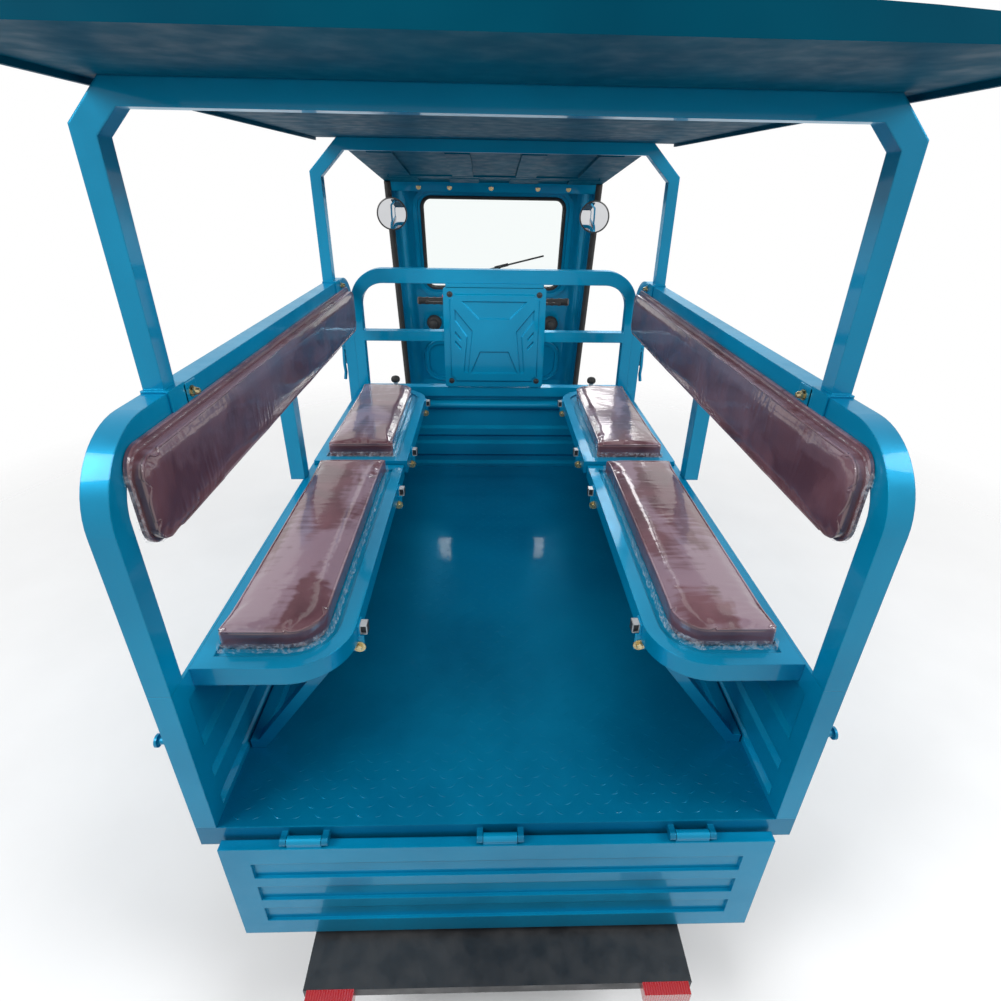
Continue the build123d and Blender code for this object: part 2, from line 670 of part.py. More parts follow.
def wiper():
    lean = math.degrees(math.atan2(CAB_SILL_Y - CAB_TOP_Y, CAB_TOP_Z - CAB_SILL_Z))
    foot_z = SCREEN_Z[0] - 22
    foot = Pos(WIPER_X, skin_y(foot_z), foot_z) * Rot(lean - 90, 0, 0)
    wiper = foot * Pos(0, 0, 9) * Cylinder(11, 18)
    swing = foot * Rot(0, 0, -WIPER_ARM_ANGLE)
    wiper += swing * Pos(WIPER_ARM / 2, 0, 14) * Box(WIPER_ARM + 10, 11, 6)
    park = swing * Pos(WIPER_ARM, 0, 0) * Rot(0, 0, WIPER_ARM_ANGLE - WIPER_BLADE_ANGLE)
    wiper += park * Pos(0, 0, 12) * Box(WIPER_HOLDER, 14, 10)
    wiper += park * Pos(0.28 * WIPER_BLADE, 0, 7) * Box(WIPER_BLADE, 8, 11)
    return wiper - cab_block()


def windscreen():
    set_back = (CAB_SKIN - GLASS_T) / 2
    front = cab_line(set_back)
    back = cab_line(set_back + GLASS_T)
    slab = side_plate(front + back[::-1], (-CAB_HALF, CAB_HALF))
    return slab & screen_prism(0)


def cab_floor():
    y = (BED_LENGTH + 6, CAB_FOOT_Y - 10)
    floor = box((-CAB_HALF, CAB_HALF), y, (CAB_RAIL_Z, CAB_FLOOR_Z))
    well = FRONT_AXLE_Y - TYRE_R - 45
    floor -= box((-NOSE_HALF, NOSE_HALF), (well, y[1] + 1), (0, CAB_FLOOR_Z + 1))
    return floor - box((-NECK_HALF, NECK_HALF), (well - 80, well + 1), (0, CAB_FLOOR_Z + 1))


# Chassis and rear axle

def on_axis(distance):
    """The frame on the steering axis at a distance above the front wheel centre."""
    y = FRONT_AXLE_Y + distance * AXIS_DY
    z = TYRE_R + distance * AXIS_DZ
    return Pos(0, y, z) * Rot(RAKE, 0, 0)


def beside_axis(forward, distance):
    """The (y, z) point beside the steering axis, forward of it and above the front wheel centre."""
    spot = (on_axis(distance) * Pos(0, forward, 0)).position
    return (spot.Y, spot.Z)


def chassis_frame():
    top = BEARER_Z
    drop = (0.80 * BED_LENGTH, 0.97 * BED_LENGTH)
    nose_y = FRONT_AXLE_Y - TYRE_R - 60
    points = [
        (20, top), (drop[0], top), (drop[1], CAB_RAIL_Z), (nose_y, CAB_RAIL_Z),
        (nose_y, CAB_RAIL_Z - RAIL_H), (drop[1] - 20, CAB_RAIL_Z - RAIL_H),
        (drop[0] - 20, top - RAIL_H), (20, top - RAIL_H),
    ]
    inner, outer = RAIL_X - RAIL_W / 2, RAIL_X + RAIL_W / 2
    frame = side_plate(points, (inner, outer)) + side_plate(points, (-outer, -inner))
    for y in (20, 0.5 * BED_LENGTH):
        frame += box((-inner, inner), (y, y + 40), (top - 60, top))
    frame += box((-inner, inner), (nose_y - 60, nose_y), (CAB_RAIL_Z - RAIL_H, CAB_RAIL_Z))
    for y in (REAR_AXLE_Y - SPRING_REACH, REAR_AXLE_Y + SPRING_REACH):
        hanger = box((inner + 2, outer - 2), (y - EYE_R, y + EYE_R), (SPRING_EYE_Z, RAIL_Z))
        hanger -= rod_x((inner, outer), y, SPRING_EYE_Z, EYE_R)
        frame += both(hanger)
    neck = [
        (nose_y - 60, CAB_RAIL_Z), (nose_y - 8, CAB_RAIL_Z), beside_axis(-92, HEAD[0] - 2),
        beside_axis(-20, HEAD[0] + 14), beside_axis(-20, HEAD[1] - 14), beside_axis(-110, HEAD[1] - 60),
        (nose_y - 60, CAB_RAIL_Z + 120),
    ]
    frame += side_plate(neck, (-NECK_HALF, NECK_HALF))
    middle = on_axis(sum(HEAD) / 2)
    frame += middle * Cylinder(HEAD_R, HEAD[1] - HEAD[0])
    return frame - middle * Cylinder(STEM_R + AXLE_PLAY, HEAD[1] - HEAD[0] + 40)


def rear_axle():
    """The axle tube with its stub ends and the round gear case in the middle."""
    half = TRACK_HALF - 62
    end = TRACK_HALF + TYRE_W / 2 - 3
    case = DIFF_HALF
    outline = [
        (0, -end), (AXLE_R, -end), (AXLE_R, -half), (AXLE_TUBE_R, -half), (AXLE_TUBE_R, -case - 70),
        (0.6 * DIFF_R, -case), (DIFF_R, -case + 30), (DIFF_R, case - 30), (0.6 * DIFF_R, case),
        (AXLE_TUBE_R, case + 70), (AXLE_TUBE_R, half), (AXLE_R, half), (AXLE_R, end), (0, end),
    ]
    return turned(outline, Pos(0, REAR_AXLE_Y, TYRE_R) * Rot(0, 90, 0))


def drive_motor():
    """A motor beside the gear case: ribbed barrel, end caps and the flange that bolts to the case."""
    z = TYRE_R + 20
    motor = rod_x((-30, 190), MOTOR_Y, z, MOTOR_R - 6)
    for k in range(5):
        x = -6 + 34 * k
        motor += rod_x((x, x + 10), MOTOR_Y, z, MOTOR_R)
    motor += rod_x((176, 204), MOTOR_Y, z, 0.7 * MOTOR_R)
    motor += box((-20, 60), (REAR_AXLE_Y, MOTOR_Y), (TYRE_R - 30, TYRE_R + 50))
    return motor - rear_axle()


def leaf_spring():
    """A pack of leaves, each shorter than the one above, with eyes on the top one and a clamp on the axle."""
    x = (RAIL_X - RAIL_W / 2 + 2, RAIL_X + RAIL_W / 2 - 2)
    top = TYRE_R + AXLE_TUBE_R + SPRING_LEAVES * SPRING_LEAF
    rise = SPRING_EYE_Z - top
    spring = None
    for k in range(SPRING_LEAVES):
        reach = SPRING_REACH * (1 - 0.2 * k)
        mid = top - k * SPRING_LEAF
        end = mid + rise * (reach / SPRING_REACH) ** 2
        low = ThreePointArc((REAR_AXLE_Y - reach, end - SPRING_LEAF), (REAR_AXLE_Y, mid - SPRING_LEAF),
                            (REAR_AXLE_Y + reach, end - SPRING_LEAF))
        high = ThreePointArc((REAR_AXLE_Y - reach, end), (REAR_AXLE_Y, mid), (REAR_AXLE_Y + reach, end))
        face = make_face([low, high, Line(low @ 0, high @ 0), Line(low @ 1, high @ 1)])
        leaf = Pos(x[0], 0, 0) * extrude(Plane.YZ * face, x[1] - x[0])
        spring = leaf if spring is None else spring + leaf
    for side in (-1, 1):
        spring += rod_x(x, REAR_AXLE_Y + side * SPRING_REACH, SPRING_EYE_Z, EYE_R)
    spring += box(x, (REAR_AXLE_Y - 40, REAR_AXLE_Y + 40), (TYRE_R, top + SPRING_LEAF))
    return spring - rod_x((0, TRACK_HALF), REAR_AXLE_Y, TYRE_R, AXLE_TUBE_R)


def rear_mudguard():
    x = (TRACK_HALF - TYRE_W / 2 - MUDGUARD_FLARE, TRACK_HALF + TYRE_W / 2 + MUDGUARD_FLARE)
    inside = rod_x(x, REAR_AXLE_Y, TYRE_R, TYRE_R + MUDGUARD_GAP)
    guard = rod_x(x, REAR_AXLE_Y, TYRE_R, TYRE_R + MUDGUARD_GAP + MUDGUARD_T)
    guard -= box((x[0] - 1, x[1] + 1), (REAR_AXLE_Y - 400, REAR_AXLE_Y + 400), (-100, TYRE_R + 60))
    guard += box((TRACK_HALF - 30, TRACK_HALF + 30), (REAR_AXLE_Y - 70, REAR_AXLE_Y + 70),
                 (2 * TYRE_R + MUDGUARD_GAP, BEARER_Z))
    return guard - inside


def rear_step():
    step = box((-STEP_HALF, STEP_HALF), (-STEP_REACH, 60), (STEP_Z - STEP_T, STEP_Z))
    x = (RAIL_X - RAIL_W / 2 + 4, RAIL_X + RAIL_W / 2 - 4)
    for bracket in both(box(x, (24, 60), (STEP_Z, RAIL_Z))):
        step += bracket
    return step


def tail_lamp():
    return box((STEP_HALF - LAMP_W - 8, STEP_HALF - 8), (-STEP_REACH - LAMP_T, -STEP_REACH),
               (STEP_Z - STEP_T - 3, STEP_Z + 3))


# Wheels

def wheel(bore):
    """A pressed wheel about the x axis: drop-centre rim, dished disc with round windows, and its hub."""
    edge = TYRE_W / 2 - 10
    well = RIM_R - 3 * RIM_WALL
    rim = [(RIM_R, -edge), (RIM_R, edge), (RIM_R - RIM_WALL / 2, edge),
           (well, 0.3 * edge), (well, -0.3 * edge), (RIM_R - RIM_WALL / 2, -edge)]
    disc = [(well + 2, -6), (well + 2, 6), (HUB_R - 2, 18), (HUB_R - 2, 6)]
    nose = edge + 11
    hub = [(bore, -nose), (bore, nose), (0.8 * HUB_R, nose), (HUB_R, edge - 6), (HUB_R, -nose)]
    turn = Rot(0, 90, 0)
    shape = turned(rim, turn) + turned(disc, turn) + turned(hub, turn)
    for k in range(6):
        angle = math.radians(60 * k + 30)
        y, z = 0.61 * RIM_R * math.cos(angle), 0.61 * RIM_R * math.sin(angle)
        shape -= rod_x((-TYRE_W / 2, TYRE_W / 2), y, z, 0.11 * RIM_R)
    return shape


def tyre():
    half = TYRE_W / 2
    side = [(RIM_R, half), (0.67 * TYRE_R + 0.33 * RIM_R, half), (TYRE_R, 0.42 * half)]
    section = side + [(r, -x) for r, x in reversed(side)]
    return turned(section, Rot(0, 90, 0))


# Steering

def fork():
    body = on_axis(0) * Rot(0, 90, 0) * Cylinder(FRONT_AXLE_R, 2 * LEG_X + 30)
    low, high = HEAD[0] - 6, HEAD[1] + 6
    leg_low, leg_high = -28, high + 30
    slider = 0.9 * TYRE_R
    for side in (-1, 1):
        leg = on_axis((leg_low + leg_high) / 2) * Pos(side * LEG_X, 0, 0) * Cylinder(LEG_R, leg_high - leg_low)
        leg += on_axis((leg_low + slider) / 2) * Pos(side * LEG_X, 0, 0) * Cylinder(SLIDER_R, slider - leg_low)
        body += leg
    for bottom in (low - CLAMP_T, high):
        body += on_axis(bottom + CLAMP_T / 2) * Box(2 * LEG_X + 56, CLAMP_D, CLAMP_T)
    body += on_axis((low + COLUMN) / 2) * Cylinder(STEM_R, COLUMN - low)
    brace = on_axis(TYRE_R + 46) * Box(2 * LEG_X, 34, 24)
    return body + (brace - rod_x((-200, 200), FRONT_AXLE_Y, TYRE_R, TYRE_R + 38))


def front_mudguard():
    x = (-TYRE_W / 2 - 9, TYRE_W / 2 + 9)
    guard = rod_x(x, FRONT_AXLE_Y, TYRE_R, TYRE_R + 38) - rod_x(x, FRONT_AXLE_Y, TYRE_R, TYRE_R + 28)
    cut = [(FRONT_AXLE_Y, TYRE_R), (FRONT_AXLE_Y + 500, TYRE_R + 320), (FRONT_AXLE_Y + 500, -200),
           (FRONT_AXLE_Y - 500, -200), (FRONT_AXLE_Y - 500, TYRE_R + 60)]
    return guard - side_plate(cut, (-100, 100))


def bar_points():
    """The handlebar's bends and end on the right, from the straight middle outwards."""
    base = on_axis(COLUMN + 14).position
    grip_y, grip_z = base.Y - GRIP_BACK, base.Z + GRIP_RISE
    return [Vector(BAR_STRAIGHT, base.Y, base.Z), Vector(0.58 * BAR_HALF, grip_y + 50, grip_z - 10),
            Vector(BAR_HALF, grip_y, grip_z)]


def handlebar():
    clamp = on_axis(COLUMN - 20) * Cylinder(30, 40) - on_axis(COLUMN - 20) * Cylinder(STEM_R, 60)
    cap = on_axis(COLUMN + 11) * Box(90, 50, 22)
    right = bar_points()
    left = [Vector(-p.X, p.Y, p.Z) for p in reversed(right)]
    path = FilletPolyline(*left, *right, radius=BAR_BEND)
    bar = sweep(Plane(origin=path @ 0, z_dir=path % 0) * Circle(BAR_R), path=path)
    return clamp + cap + bar


def hand_control():
    """A ribbed grip with its switch clamp and brake lever."""
    start, end = bar_points()[-2:]
    length = (end - start).length
    line = Plane(origin=start, x_dir=(0, 0, 1), z_dir=end - start)
    tip = length + 4
    grip = line * Pos(0, 0, tip - GRIP_LENGTH / 2) * Cylinder(GRIP_R - 1.5, GRIP_LENGTH)
    for k in range(4):
        grip += line * Pos(0, 0, tip - 8 - 0.28 * GRIP_LENGTH * k) * Cylinder(GRIP_R, 10)
    switch = tip - GRIP_LENGTH - 16
    grip += line * Pos(0, 0, switch) * Cylinder(GRIP_R + 4, 34)
    grip += line * Pos(0, 26, switch) * Box(14, 44, 22)
    grip += line * Pos(0, 50, tip - GRIP_LENGTH / 2 - 27) * Rot(7, 0, 0) * Box(9, 14, 124)
    return grip - handlebar()


# Driver's place and battery

def driver_seat_base():
    rear, front = SEAT_Y
    outline = [(rear, CAB_FLOOR_Z), (front, CAB_FLOOR_Z), (front - 40, SEAT_Z), (rear, SEAT_Z)]
    base = side_plate(outline, (-SEAT_HALF, SEAT_HALF))
    skin = SEAT_SKIN
    hollow = [(rear + skin, CAB_FLOOR_Z), (front - skin, CAB_FLOOR_Z),
              (front - skin - 38, SEAT_Z - skin), (rear + skin, SEAT_Z - skin)]
    return base - side_plate(hollow, (-SEAT_HALF + skin, SEAT_HALF - skin))


def driver_seat_pad():
    pad = box((-SEAT_HALF + 10, SEAT_HALF - 10), (SEAT_Y[0] + 6, SEAT_Y[1] - 20), (SEAT_Z, SEAT_Z + SEAT_PAD_T))
    return round_corners(pad, Axis.Z, SEAT_R, lambda c: True)


def driver_back_pad():
    z = (PANEL_Z[0] + 30, PANEL_Z[1] - 17)
    pad = box((-PANEL_HALF + 12, PANEL_HALF - 12), (BED_LENGTH, BED_LENGTH + BACK_REST_T), above(z))
    return round_corners(pad, Axis.Y, SEAT_R, lambda c: True)


def battery_pack():
    inner = RAIL_X - RAIL_W / 2
    return box((-inner, inner), (0.54 * BED_LENGTH, 0.78 * BED_LENGTH), (RAIL_Z - 120, BEARER_Z - 8))


# Assembly: one file for each named subcomponent

SINGLES = {
    "bed_floor": bed_floor, "tailgate": tailgate, "front_wall": front_wall, "guard_frame": guard_frame,
    "guard_panel": guard_panel, "passenger_roof": passenger_roof, "cab_roof": cab_roof, "cab_shell": cab_shell,
    "windscreen": windscreen, "wiper": wiper, "cab_floor": cab_floor, "chassis_frame": chassis_frame,
    "rear_axle": rear_axle, "drive_motor": drive_motor, "rear_step": rear_step, "fork": fork,
    "front_mudguard": front_mudguard, "handlebar": handlebar, "driver_seat_base": driver_seat_base,
    "driver_seat_pad": driver_seat_pad, "driver_back_pad": driver_back_pad, "battery_pack": battery_pack,
}
PAIRS = {
    "side_walls": side_wall, "side_hoops": hoop, "leaf_springs": leaf_spring, "rear_mudguards": rear_mudguard,
    "hand_controls": hand_control, "headlamps": headlamp, "mirrors": side_mirror,
    "mirror_glasses": mirror_glass, "tail_lamps": tail_lamp,
}
WHEELS = {
    # name: (x, y, axle radius)
    "front": (0.0, FRONT_AXLE_Y, FRONT_AXLE_R),
    "rear_left": (-TRACK_HALF, REAR_AXLE_Y, AXLE_R),
    "rear_right": (TRACK_HALF, REAR_AXLE_Y, AXLE_R),
}


def build():
    os.makedirs("parts", exist_ok=True)
    for name, make in SINGLES.items():
        save(name, [make()])
    for name, make in PAIRS.items():
        save(name, both(make()))
    right, left = both(back_pad())
    save("back_pad_left", [left])
    save("back_pad_right", [right])
    frames, legs = [], []
    for name, row in BENCHES.items():
        frames += both(bench_frame(*row))
        legs += both(bench_leg(*row))
        right, left = both(bench_pad(*row))
        save(f"bench_pad_{name}_left", [left])
        save(f"bench_pad_{name}_right", [right])
    save("bench_frames", frames)
    save("bench_legs", legs)
    save("roof_bows", [bow(*row) for row in BOWS.values()])
    for name, (x, y, axle) in WHEELS.items():
        place = Pos(x, y, TYRE_R)
        save(f"rim_{name}", [place * wheel(axle + AXLE_PLAY)])
        save(f"tyre_{name}", [place * tyre()])


build()
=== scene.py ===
"""Electric auto rickshaw seen from behind over its load bed: materials, wrapped pads and small fittings."""
import json
import math

import bmesh
import bpy
from mathutils import Matrix, Vector, noise


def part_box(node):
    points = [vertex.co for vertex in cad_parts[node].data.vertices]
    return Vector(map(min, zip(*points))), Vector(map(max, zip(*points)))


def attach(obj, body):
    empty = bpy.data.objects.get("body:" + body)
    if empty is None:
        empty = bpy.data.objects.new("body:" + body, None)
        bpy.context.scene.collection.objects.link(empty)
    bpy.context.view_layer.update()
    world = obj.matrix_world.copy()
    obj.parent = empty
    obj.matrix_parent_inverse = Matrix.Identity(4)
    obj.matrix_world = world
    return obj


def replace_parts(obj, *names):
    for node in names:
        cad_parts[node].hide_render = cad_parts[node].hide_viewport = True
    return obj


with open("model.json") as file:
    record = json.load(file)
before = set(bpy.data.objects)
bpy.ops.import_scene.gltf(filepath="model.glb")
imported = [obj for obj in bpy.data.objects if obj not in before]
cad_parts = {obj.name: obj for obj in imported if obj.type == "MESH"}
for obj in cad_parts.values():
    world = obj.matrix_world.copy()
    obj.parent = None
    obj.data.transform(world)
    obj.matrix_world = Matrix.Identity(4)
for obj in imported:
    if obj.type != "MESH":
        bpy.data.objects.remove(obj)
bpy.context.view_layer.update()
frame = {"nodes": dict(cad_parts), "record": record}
nodes = frame["nodes"]

# Places below are in mm: x to the right, y from the rear end of the bed, z from the top of its floor.
MM = 0.001
BED_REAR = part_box("side_walls")[0].y
BED_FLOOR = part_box("bed_floor")[1].z


def at(x, y, z):
    """A point of the bed's own frame, in metres of the scene."""
    return Vector((x * MM, BED_REAR + y * MM, BED_FLOOR + z * MM))


# Materials. Noise scales are waves in a metre, bump distances are metres, colours are linear.

EDGE_R = 3.5  # how far the paint rounds an edge, in mm
PAINT_SHEEN = (0.25, 0.80, 1.0, 1)  # tint of the reflection in the colour coat
PAINT_LEVEL = 0.25  # strength of that reflection
FLAKE_SHARE = 0.25  # how much of the paint's drift is flakes
FILM_HAZE_AND_PAINTED_SHEEN = (0.19, 0.125, 0.16, 1)  # milky film over the leatherette: partly lifted film, partly a painted reflection of the sky on the film
BODY_DARK, BODY_LIGHT = (0.0, 0.190, 0.350), (0.0, 0.245, 0.435)


def material(name, colour, rough, metallic=0.0, coat=0.0, coat_rough=0.05):
    """A principled material with its uniform values set; returns it, its tree and its shader."""
    mat = bpy.data.materials.new(name)
    mat.use_nodes = True
    tree = mat.node_tree
    shader = tree.nodes["Principled BSDF"]
    shader.inputs["Base Color"].default_value = (*colour, 1)
    shader.inputs["Roughness"].default_value = rough
    shader.inputs["Metallic"].default_value = metallic
    shader.inputs["Coat Weight"].default_value = coat
    shader.inputs["Coat Roughness"].default_value = coat_rough
    return mat, tree, shader


def object_noise(tree, scale, detail=4.0, stretch=(1, 1, 1), distort=0.0):
    """Noise in object coordinates, which are metres from the vehicle's origin."""
    place = tree.nodes.new("ShaderNodeTexCoord")
    squeeze = tree.nodes.new("ShaderNodeMapping")
    squeeze.inputs["Scale"].default_value = stretch
    tex = tree.nodes.new("ShaderNodeTexNoise")
    tex.inputs["Scale"].default_value = scale
    tex.inputs["Detail"].default_value = detail
    tex.inputs["Distortion"].default_value = distort
    tree.links.new(place.outputs["Object"], squeeze.inputs["Vector"])
    tree.links.new(squeeze.outputs["Vector"], tex.inputs["Vector"])
    return tex.outputs["Fac"]


def ramp(tree, value, low, high, start=0.35, end=0.65):
    """The value turned into a colour between two, or a grey where low and high are numbers."""
    node = tree.nodes.new("ShaderNodeValToRGB")
    ends = [c if isinstance(c, tuple) else (c, c, c) for c in (low, high)]
    for stop, place, colour in zip(node.color_ramp.elements, (start, end), ends):
        stop.position = place
        stop.color = (*colour, 1)
    tree.links.new(value, node.inputs["Fac"])
    return node.outputs["Color"]


def bump(tree, shader, height, strength, distance, socket="Normal", before=None):
    """Adds relief to a shader's normal, on top of a normal made before where there is one."""
    node = tree.nodes.new("ShaderNodeBump")
    node.inputs["Strength"].default_value = strength
    node.inputs["Distance"].default_value = distance
    tree.links.new(height, node.inputs["Height"])
    if before is not None:
        tree.links.new(before, node.inputs["Normal"])
    tree.links.new(node.outputs["Normal"], shader.inputs[socket])
    return node.outputs["Normal"]


def finish_of(name, dark, light, rough, scale=6.0, grain=(400, 0.08, 0.0006), metallic=0.0):
    """A finish whose colour and roughness drift a little, with a fine surface grain."""
    mat, tree, shader = material(name, light, sum(rough) / 2, metallic)
    drift = object_noise(tree, scale, 6.0)
    tree.links.new(ramp(tree, drift, dark, light), shader.inputs["Base Color"])
    tree.links.new(ramp(tree, object_noise(tree, scale * 4), *rough), shader.inputs["Roughness"])
    bump(tree, shader, object_noise(tree, grain[0], 2.0), grain[1], grain[2])
    return mat


def paint(name, dark, light, rough=(0.30, 0.40), metallic=0.42, coat=0.35):
    """Sprayed metallic paint: flakes in the colour, orange peel and a slight waviness in the bump."""
    mat, tree, shader = material(name, light, sum(rough) / 2, metallic, coat, 0.06)
    shader.inputs["Specular IOR Level"].default_value = PAINT_LEVEL
    shader.inputs["Specular Tint"].default_value = PAINT_SHEEN
    drift = object_noise(tree, 3.0, 2.0)
    flakes = object_noise(tree, 1500.0, 1.0)
    mix = tree.nodes.new("ShaderNodeMix")
    mix.data_type = "FLOAT"
    mix.inputs["Factor"].default_value = FLAKE_SHARE
    tree.links.new(drift, mix.inputs["A"])
    tree.links.new(flakes, mix.inputs["B"])
    tree.links.new(ramp(tree, mix.outputs["Result"], dark, light, 0.38, 0.62), shader.inputs["Base Color"])
    tree.links.new(ramp(tree, object_noise(tree, 24.0), *rough), shader.inputs["Roughness"])
    soft = tree.nodes.new("ShaderNodeBevel")
    soft.samples = 4
    soft.inputs["Radius"].default_value = EDGE_R * MM
    wavy = bump(tree, shader, object_noise(tree, 7.0, 1.0), 0.06, 0.004, before=soft.outputs["Normal"])
    bump(tree, shader, object_noise(tree, 320.0, 2.0), 0.05, 0.0004, before=wavy)
    return mat


def wrapped_leatherette():
    """Brown leatherette in clear film: milky streaks, partly where the film lifts and partly a painted
    reflection of the sky, strongest on faces that look up; cross wrinkles in the coat.
    """
    mat, tree, shader = material("leatherette", (0.085, 0.036, 0.040), 0.5, coat=1.0, coat_rough=0.07)
    patches = object_noise(tree, 9.0, 8.0, distort=0.6)
    leather = ramp(tree, patches, (0.060, 0.020, 0.027), (0.112, 0.045, 0.056))
    streaks = tree.nodes.new("ShaderNodeMath")
    streaks.operation = "MULTIPLY_ADD"
    streaks.inputs[1].default_value = 0.26
    tree.links.new(object_noise(tree, 75.0, 3.0, (0.12, 1, 0.35)), streaks.inputs[0])
    tree.links.new(object_noise(tree, 5.5, 3.0, (1.7, 0.6, 1.7), 0.5), streaks.inputs[2])
    where = tree.nodes.new("ShaderNodeNewGeometry")
    split = tree.nodes.new("ShaderNodeSeparateXYZ")
    tree.links.new(where.outputs["Normal"], split.inputs["Vector"])
    # painted reflection: the milky colour stands partly for lifted film and partly for the sky's sheen, and
    # is laid more on faces that look up
    haze_and_painted_sheen = tree.nodes.new("ShaderNodeMath")
    haze_and_painted_sheen.operation = "MULTIPLY"
    tree.links.new(ramp(tree, streaks.outputs[0], 0.0, 0.85, 0.60, 0.69), haze_and_painted_sheen.inputs[0])
    tree.links.new(ramp(tree, split.outputs["Z"], 0.22, 1.0, 0.2, 0.8), haze_and_painted_sheen.inputs[1])
    mix = tree.nodes.new("ShaderNodeMix")
    mix.data_type = "RGBA"
    mix.inputs["B"].default_value = FILM_HAZE_AND_PAINTED_SHEEN
    tree.links.new(haze_and_painted_sheen.outputs[0], mix.inputs["Factor"])
    tree.links.new(leather, mix.inputs["A"])
    tree.links.new(mix.outputs["Result"], shader.inputs["Base Color"])
    tree.links.new(ramp(tree, patches, 0.36, 0.50), shader.inputs["Roughness"])
    cells = tree.nodes.new("ShaderNodeTexVoronoi")
    cells.inputs["Scale"].default_value = 420
    place = tree.nodes.new("ShaderNodeTexCoord")
    tree.links.new(place.outputs["Object"], cells.inputs["Vector"])
    bump(tree, shader, cells.outputs["Distance"], 0.20, 0.0006)
    shader.inputs["Coat IOR"].default_value = 1.6
    broad = bump(tree, shader, object_noise(tree, 10.0, 2.0, (1, 0.7, 1), 0.5), 0.25, 0.008, "Coat Normal")
    drawn = object_noise(tree, 95.0, 4.0, (0.14, 1, 0.3), 0.4)
    bump(tree, shader, drawn, 0.35, 0.0012, "Coat Normal", before=broad)
    return mat


def glass():
    """Thin clear glass, with hardly any bending so that a single pane shows what is behind it."""
    mat, tree, shader = material("glass", (0.93, 0.97, 0.96), 0.02)
    shader.inputs["Transmission Weight"].default_value = 1.0
    shader.inputs["IOR"].default_value = 1.02
    tree.links.new(ramp(tree, object_noise(tree, 3.0), 0.01, 0.03), shader.inputs["Roughness"])
    return mat


def lens(name, colour, rough):
    """A ribbed lamp lens."""
    mat, tree, shader = material(name, colour, rough, coat=1.0)
    ribs = tree.nodes.new("ShaderNodeTexWave")
    ribs.inputs["Scale"].default_value = 60
    place = tree.nodes.new("ShaderNodeTexCoord")
    tree.links.new(place.outputs["Object"], ribs.inputs["Vector"])
    bump(tree, shader, ribs.outputs["Fac"], 0.4, 0.002)
    return mat


MATERIALS = {
    "body_paint": paint("body_paint", BODY_DARK, BODY_LIGHT),
    "chassis_paint": finish_of("chassis_paint", (0.013, 0.014, 0.016), (0.024, 0.025, 0.027), (0.35, 0.55)),
    # painted shade: the body paint in darker tones for the bed floor and its chequer marks
    "bed_paint_with_painted_shade": paint("bed_paint_with_painted_shade", (0.0, 0.125, 0.245), (0.0, 0.165, 0.305)),
    "leatherette": wrapped_leatherette(),
    "tyre": finish_of(
        "tyre", (0.014, 0.014, 0.014), (0.026, 0.025, 0.024), (0.65, 0.85), 30, (700, 0.3, 0.001)
    ),
    "rim_paint": finish_of("rim_paint", (0.40, 0.41, 0.42), (0.50, 0.51, 0.52), (0.25, 0.42), metallic=0.6),
    "glass": glass(),
    "mirror": finish_of(
        "mirror", (0.62, 0.63, 0.65), (0.70, 0.71, 0.73), (0.02, 0.05), 4, (5, 0.02, 0.001), 1.0
    ),
    "black_plastic": finish_of(
        "black_plastic", (0.012, 0.012, 0.013), (0.022, 0.022, 0.023), (0.38, 0.52), 20
    ),
    "black_rubber": finish_of(
        "black_rubber", (0.010, 0.010, 0.010), (0.018, 0.018, 0.018), (0.6, 0.75), 25
    ),
    "dark_paint": paint("dark_paint", (0.0, 0.030, 0.070), (0.0, 0.052, 0.105), (0.30, 0.42), 0.3, 0.4),
    "lamp_lens": lens("lamp_lens", (0.75, 0.78, 0.80), 0.12),
    "lamp_red": lens("lamp_red", (0.42, 0.012, 0.010), 0.2),
    "motor_alloy": finish_of(
        "motor_alloy", (0.33, 0.34, 0.35), (0.46, 0.47, 0.48), (0.4, 0.6), 18, metallic=0.9
    ),
    "battery_case": finish_of(
        "battery_case", (0.018, 0.020, 0.024), (0.034, 0.036, 0.040), (0.5, 0.65), 12
    ),
    "zinc": finish_of("zinc", (0.40, 0.31, 0.15), (0.58, 0.50, 0.30), (0.22, 0.40), 60, metallic=1.0),
}


def roof_paint():
    """The body colour on pressed sheet, with painted shade: a dull darker tone on the faces that look down.
    """
    mat, tree, shader = material("roof_paint", (0.0, 0.22, 0.40), 0.5)
    shader.inputs["Specular IOR Level"].default_value = 0.03
    where = tree.nodes.new("ShaderNodeNewGeometry")
    split = tree.nodes.new("ShaderNodeSeparateXYZ")
    tree.links.new(where.outputs["True Normal"], split.inputs["Vector"])
    top = ramp(tree, object_noise(tree, 3.0, 2.0), (0.0, 0.190, 0.350), (0.0, 0.240, 0.425))
    # painted shade: a darker copy of the body colour for the faces that look down
    under = ramp(tree, object_noise(tree, 5.0, 2.0), (0.0, 0.070, 0.125), (0.0, 0.092, 0.155))
    mix = tree.nodes.new("ShaderNodeMix")
    mix.data_type = "RGBA"
    tree.links.new(ramp(tree, split.outputs["Z"], 0.0, 1.0, 0.0, 0.02), mix.inputs["Factor"])
    tree.links.new(under, mix.inputs["A"])
    tree.links.new(top, mix.inputs["B"])
    tree.links.new(mix.outputs["Result"], shader.inputs["Base Color"])
    tree.links.new(ramp(tree, object_noise(tree, 24.0), 0.42, 0.58), shader.inputs["Roughness"])
    bump(tree, shader, object_noise(tree, 320.0, 2.0), 0.05, 0.0004)
    return mat


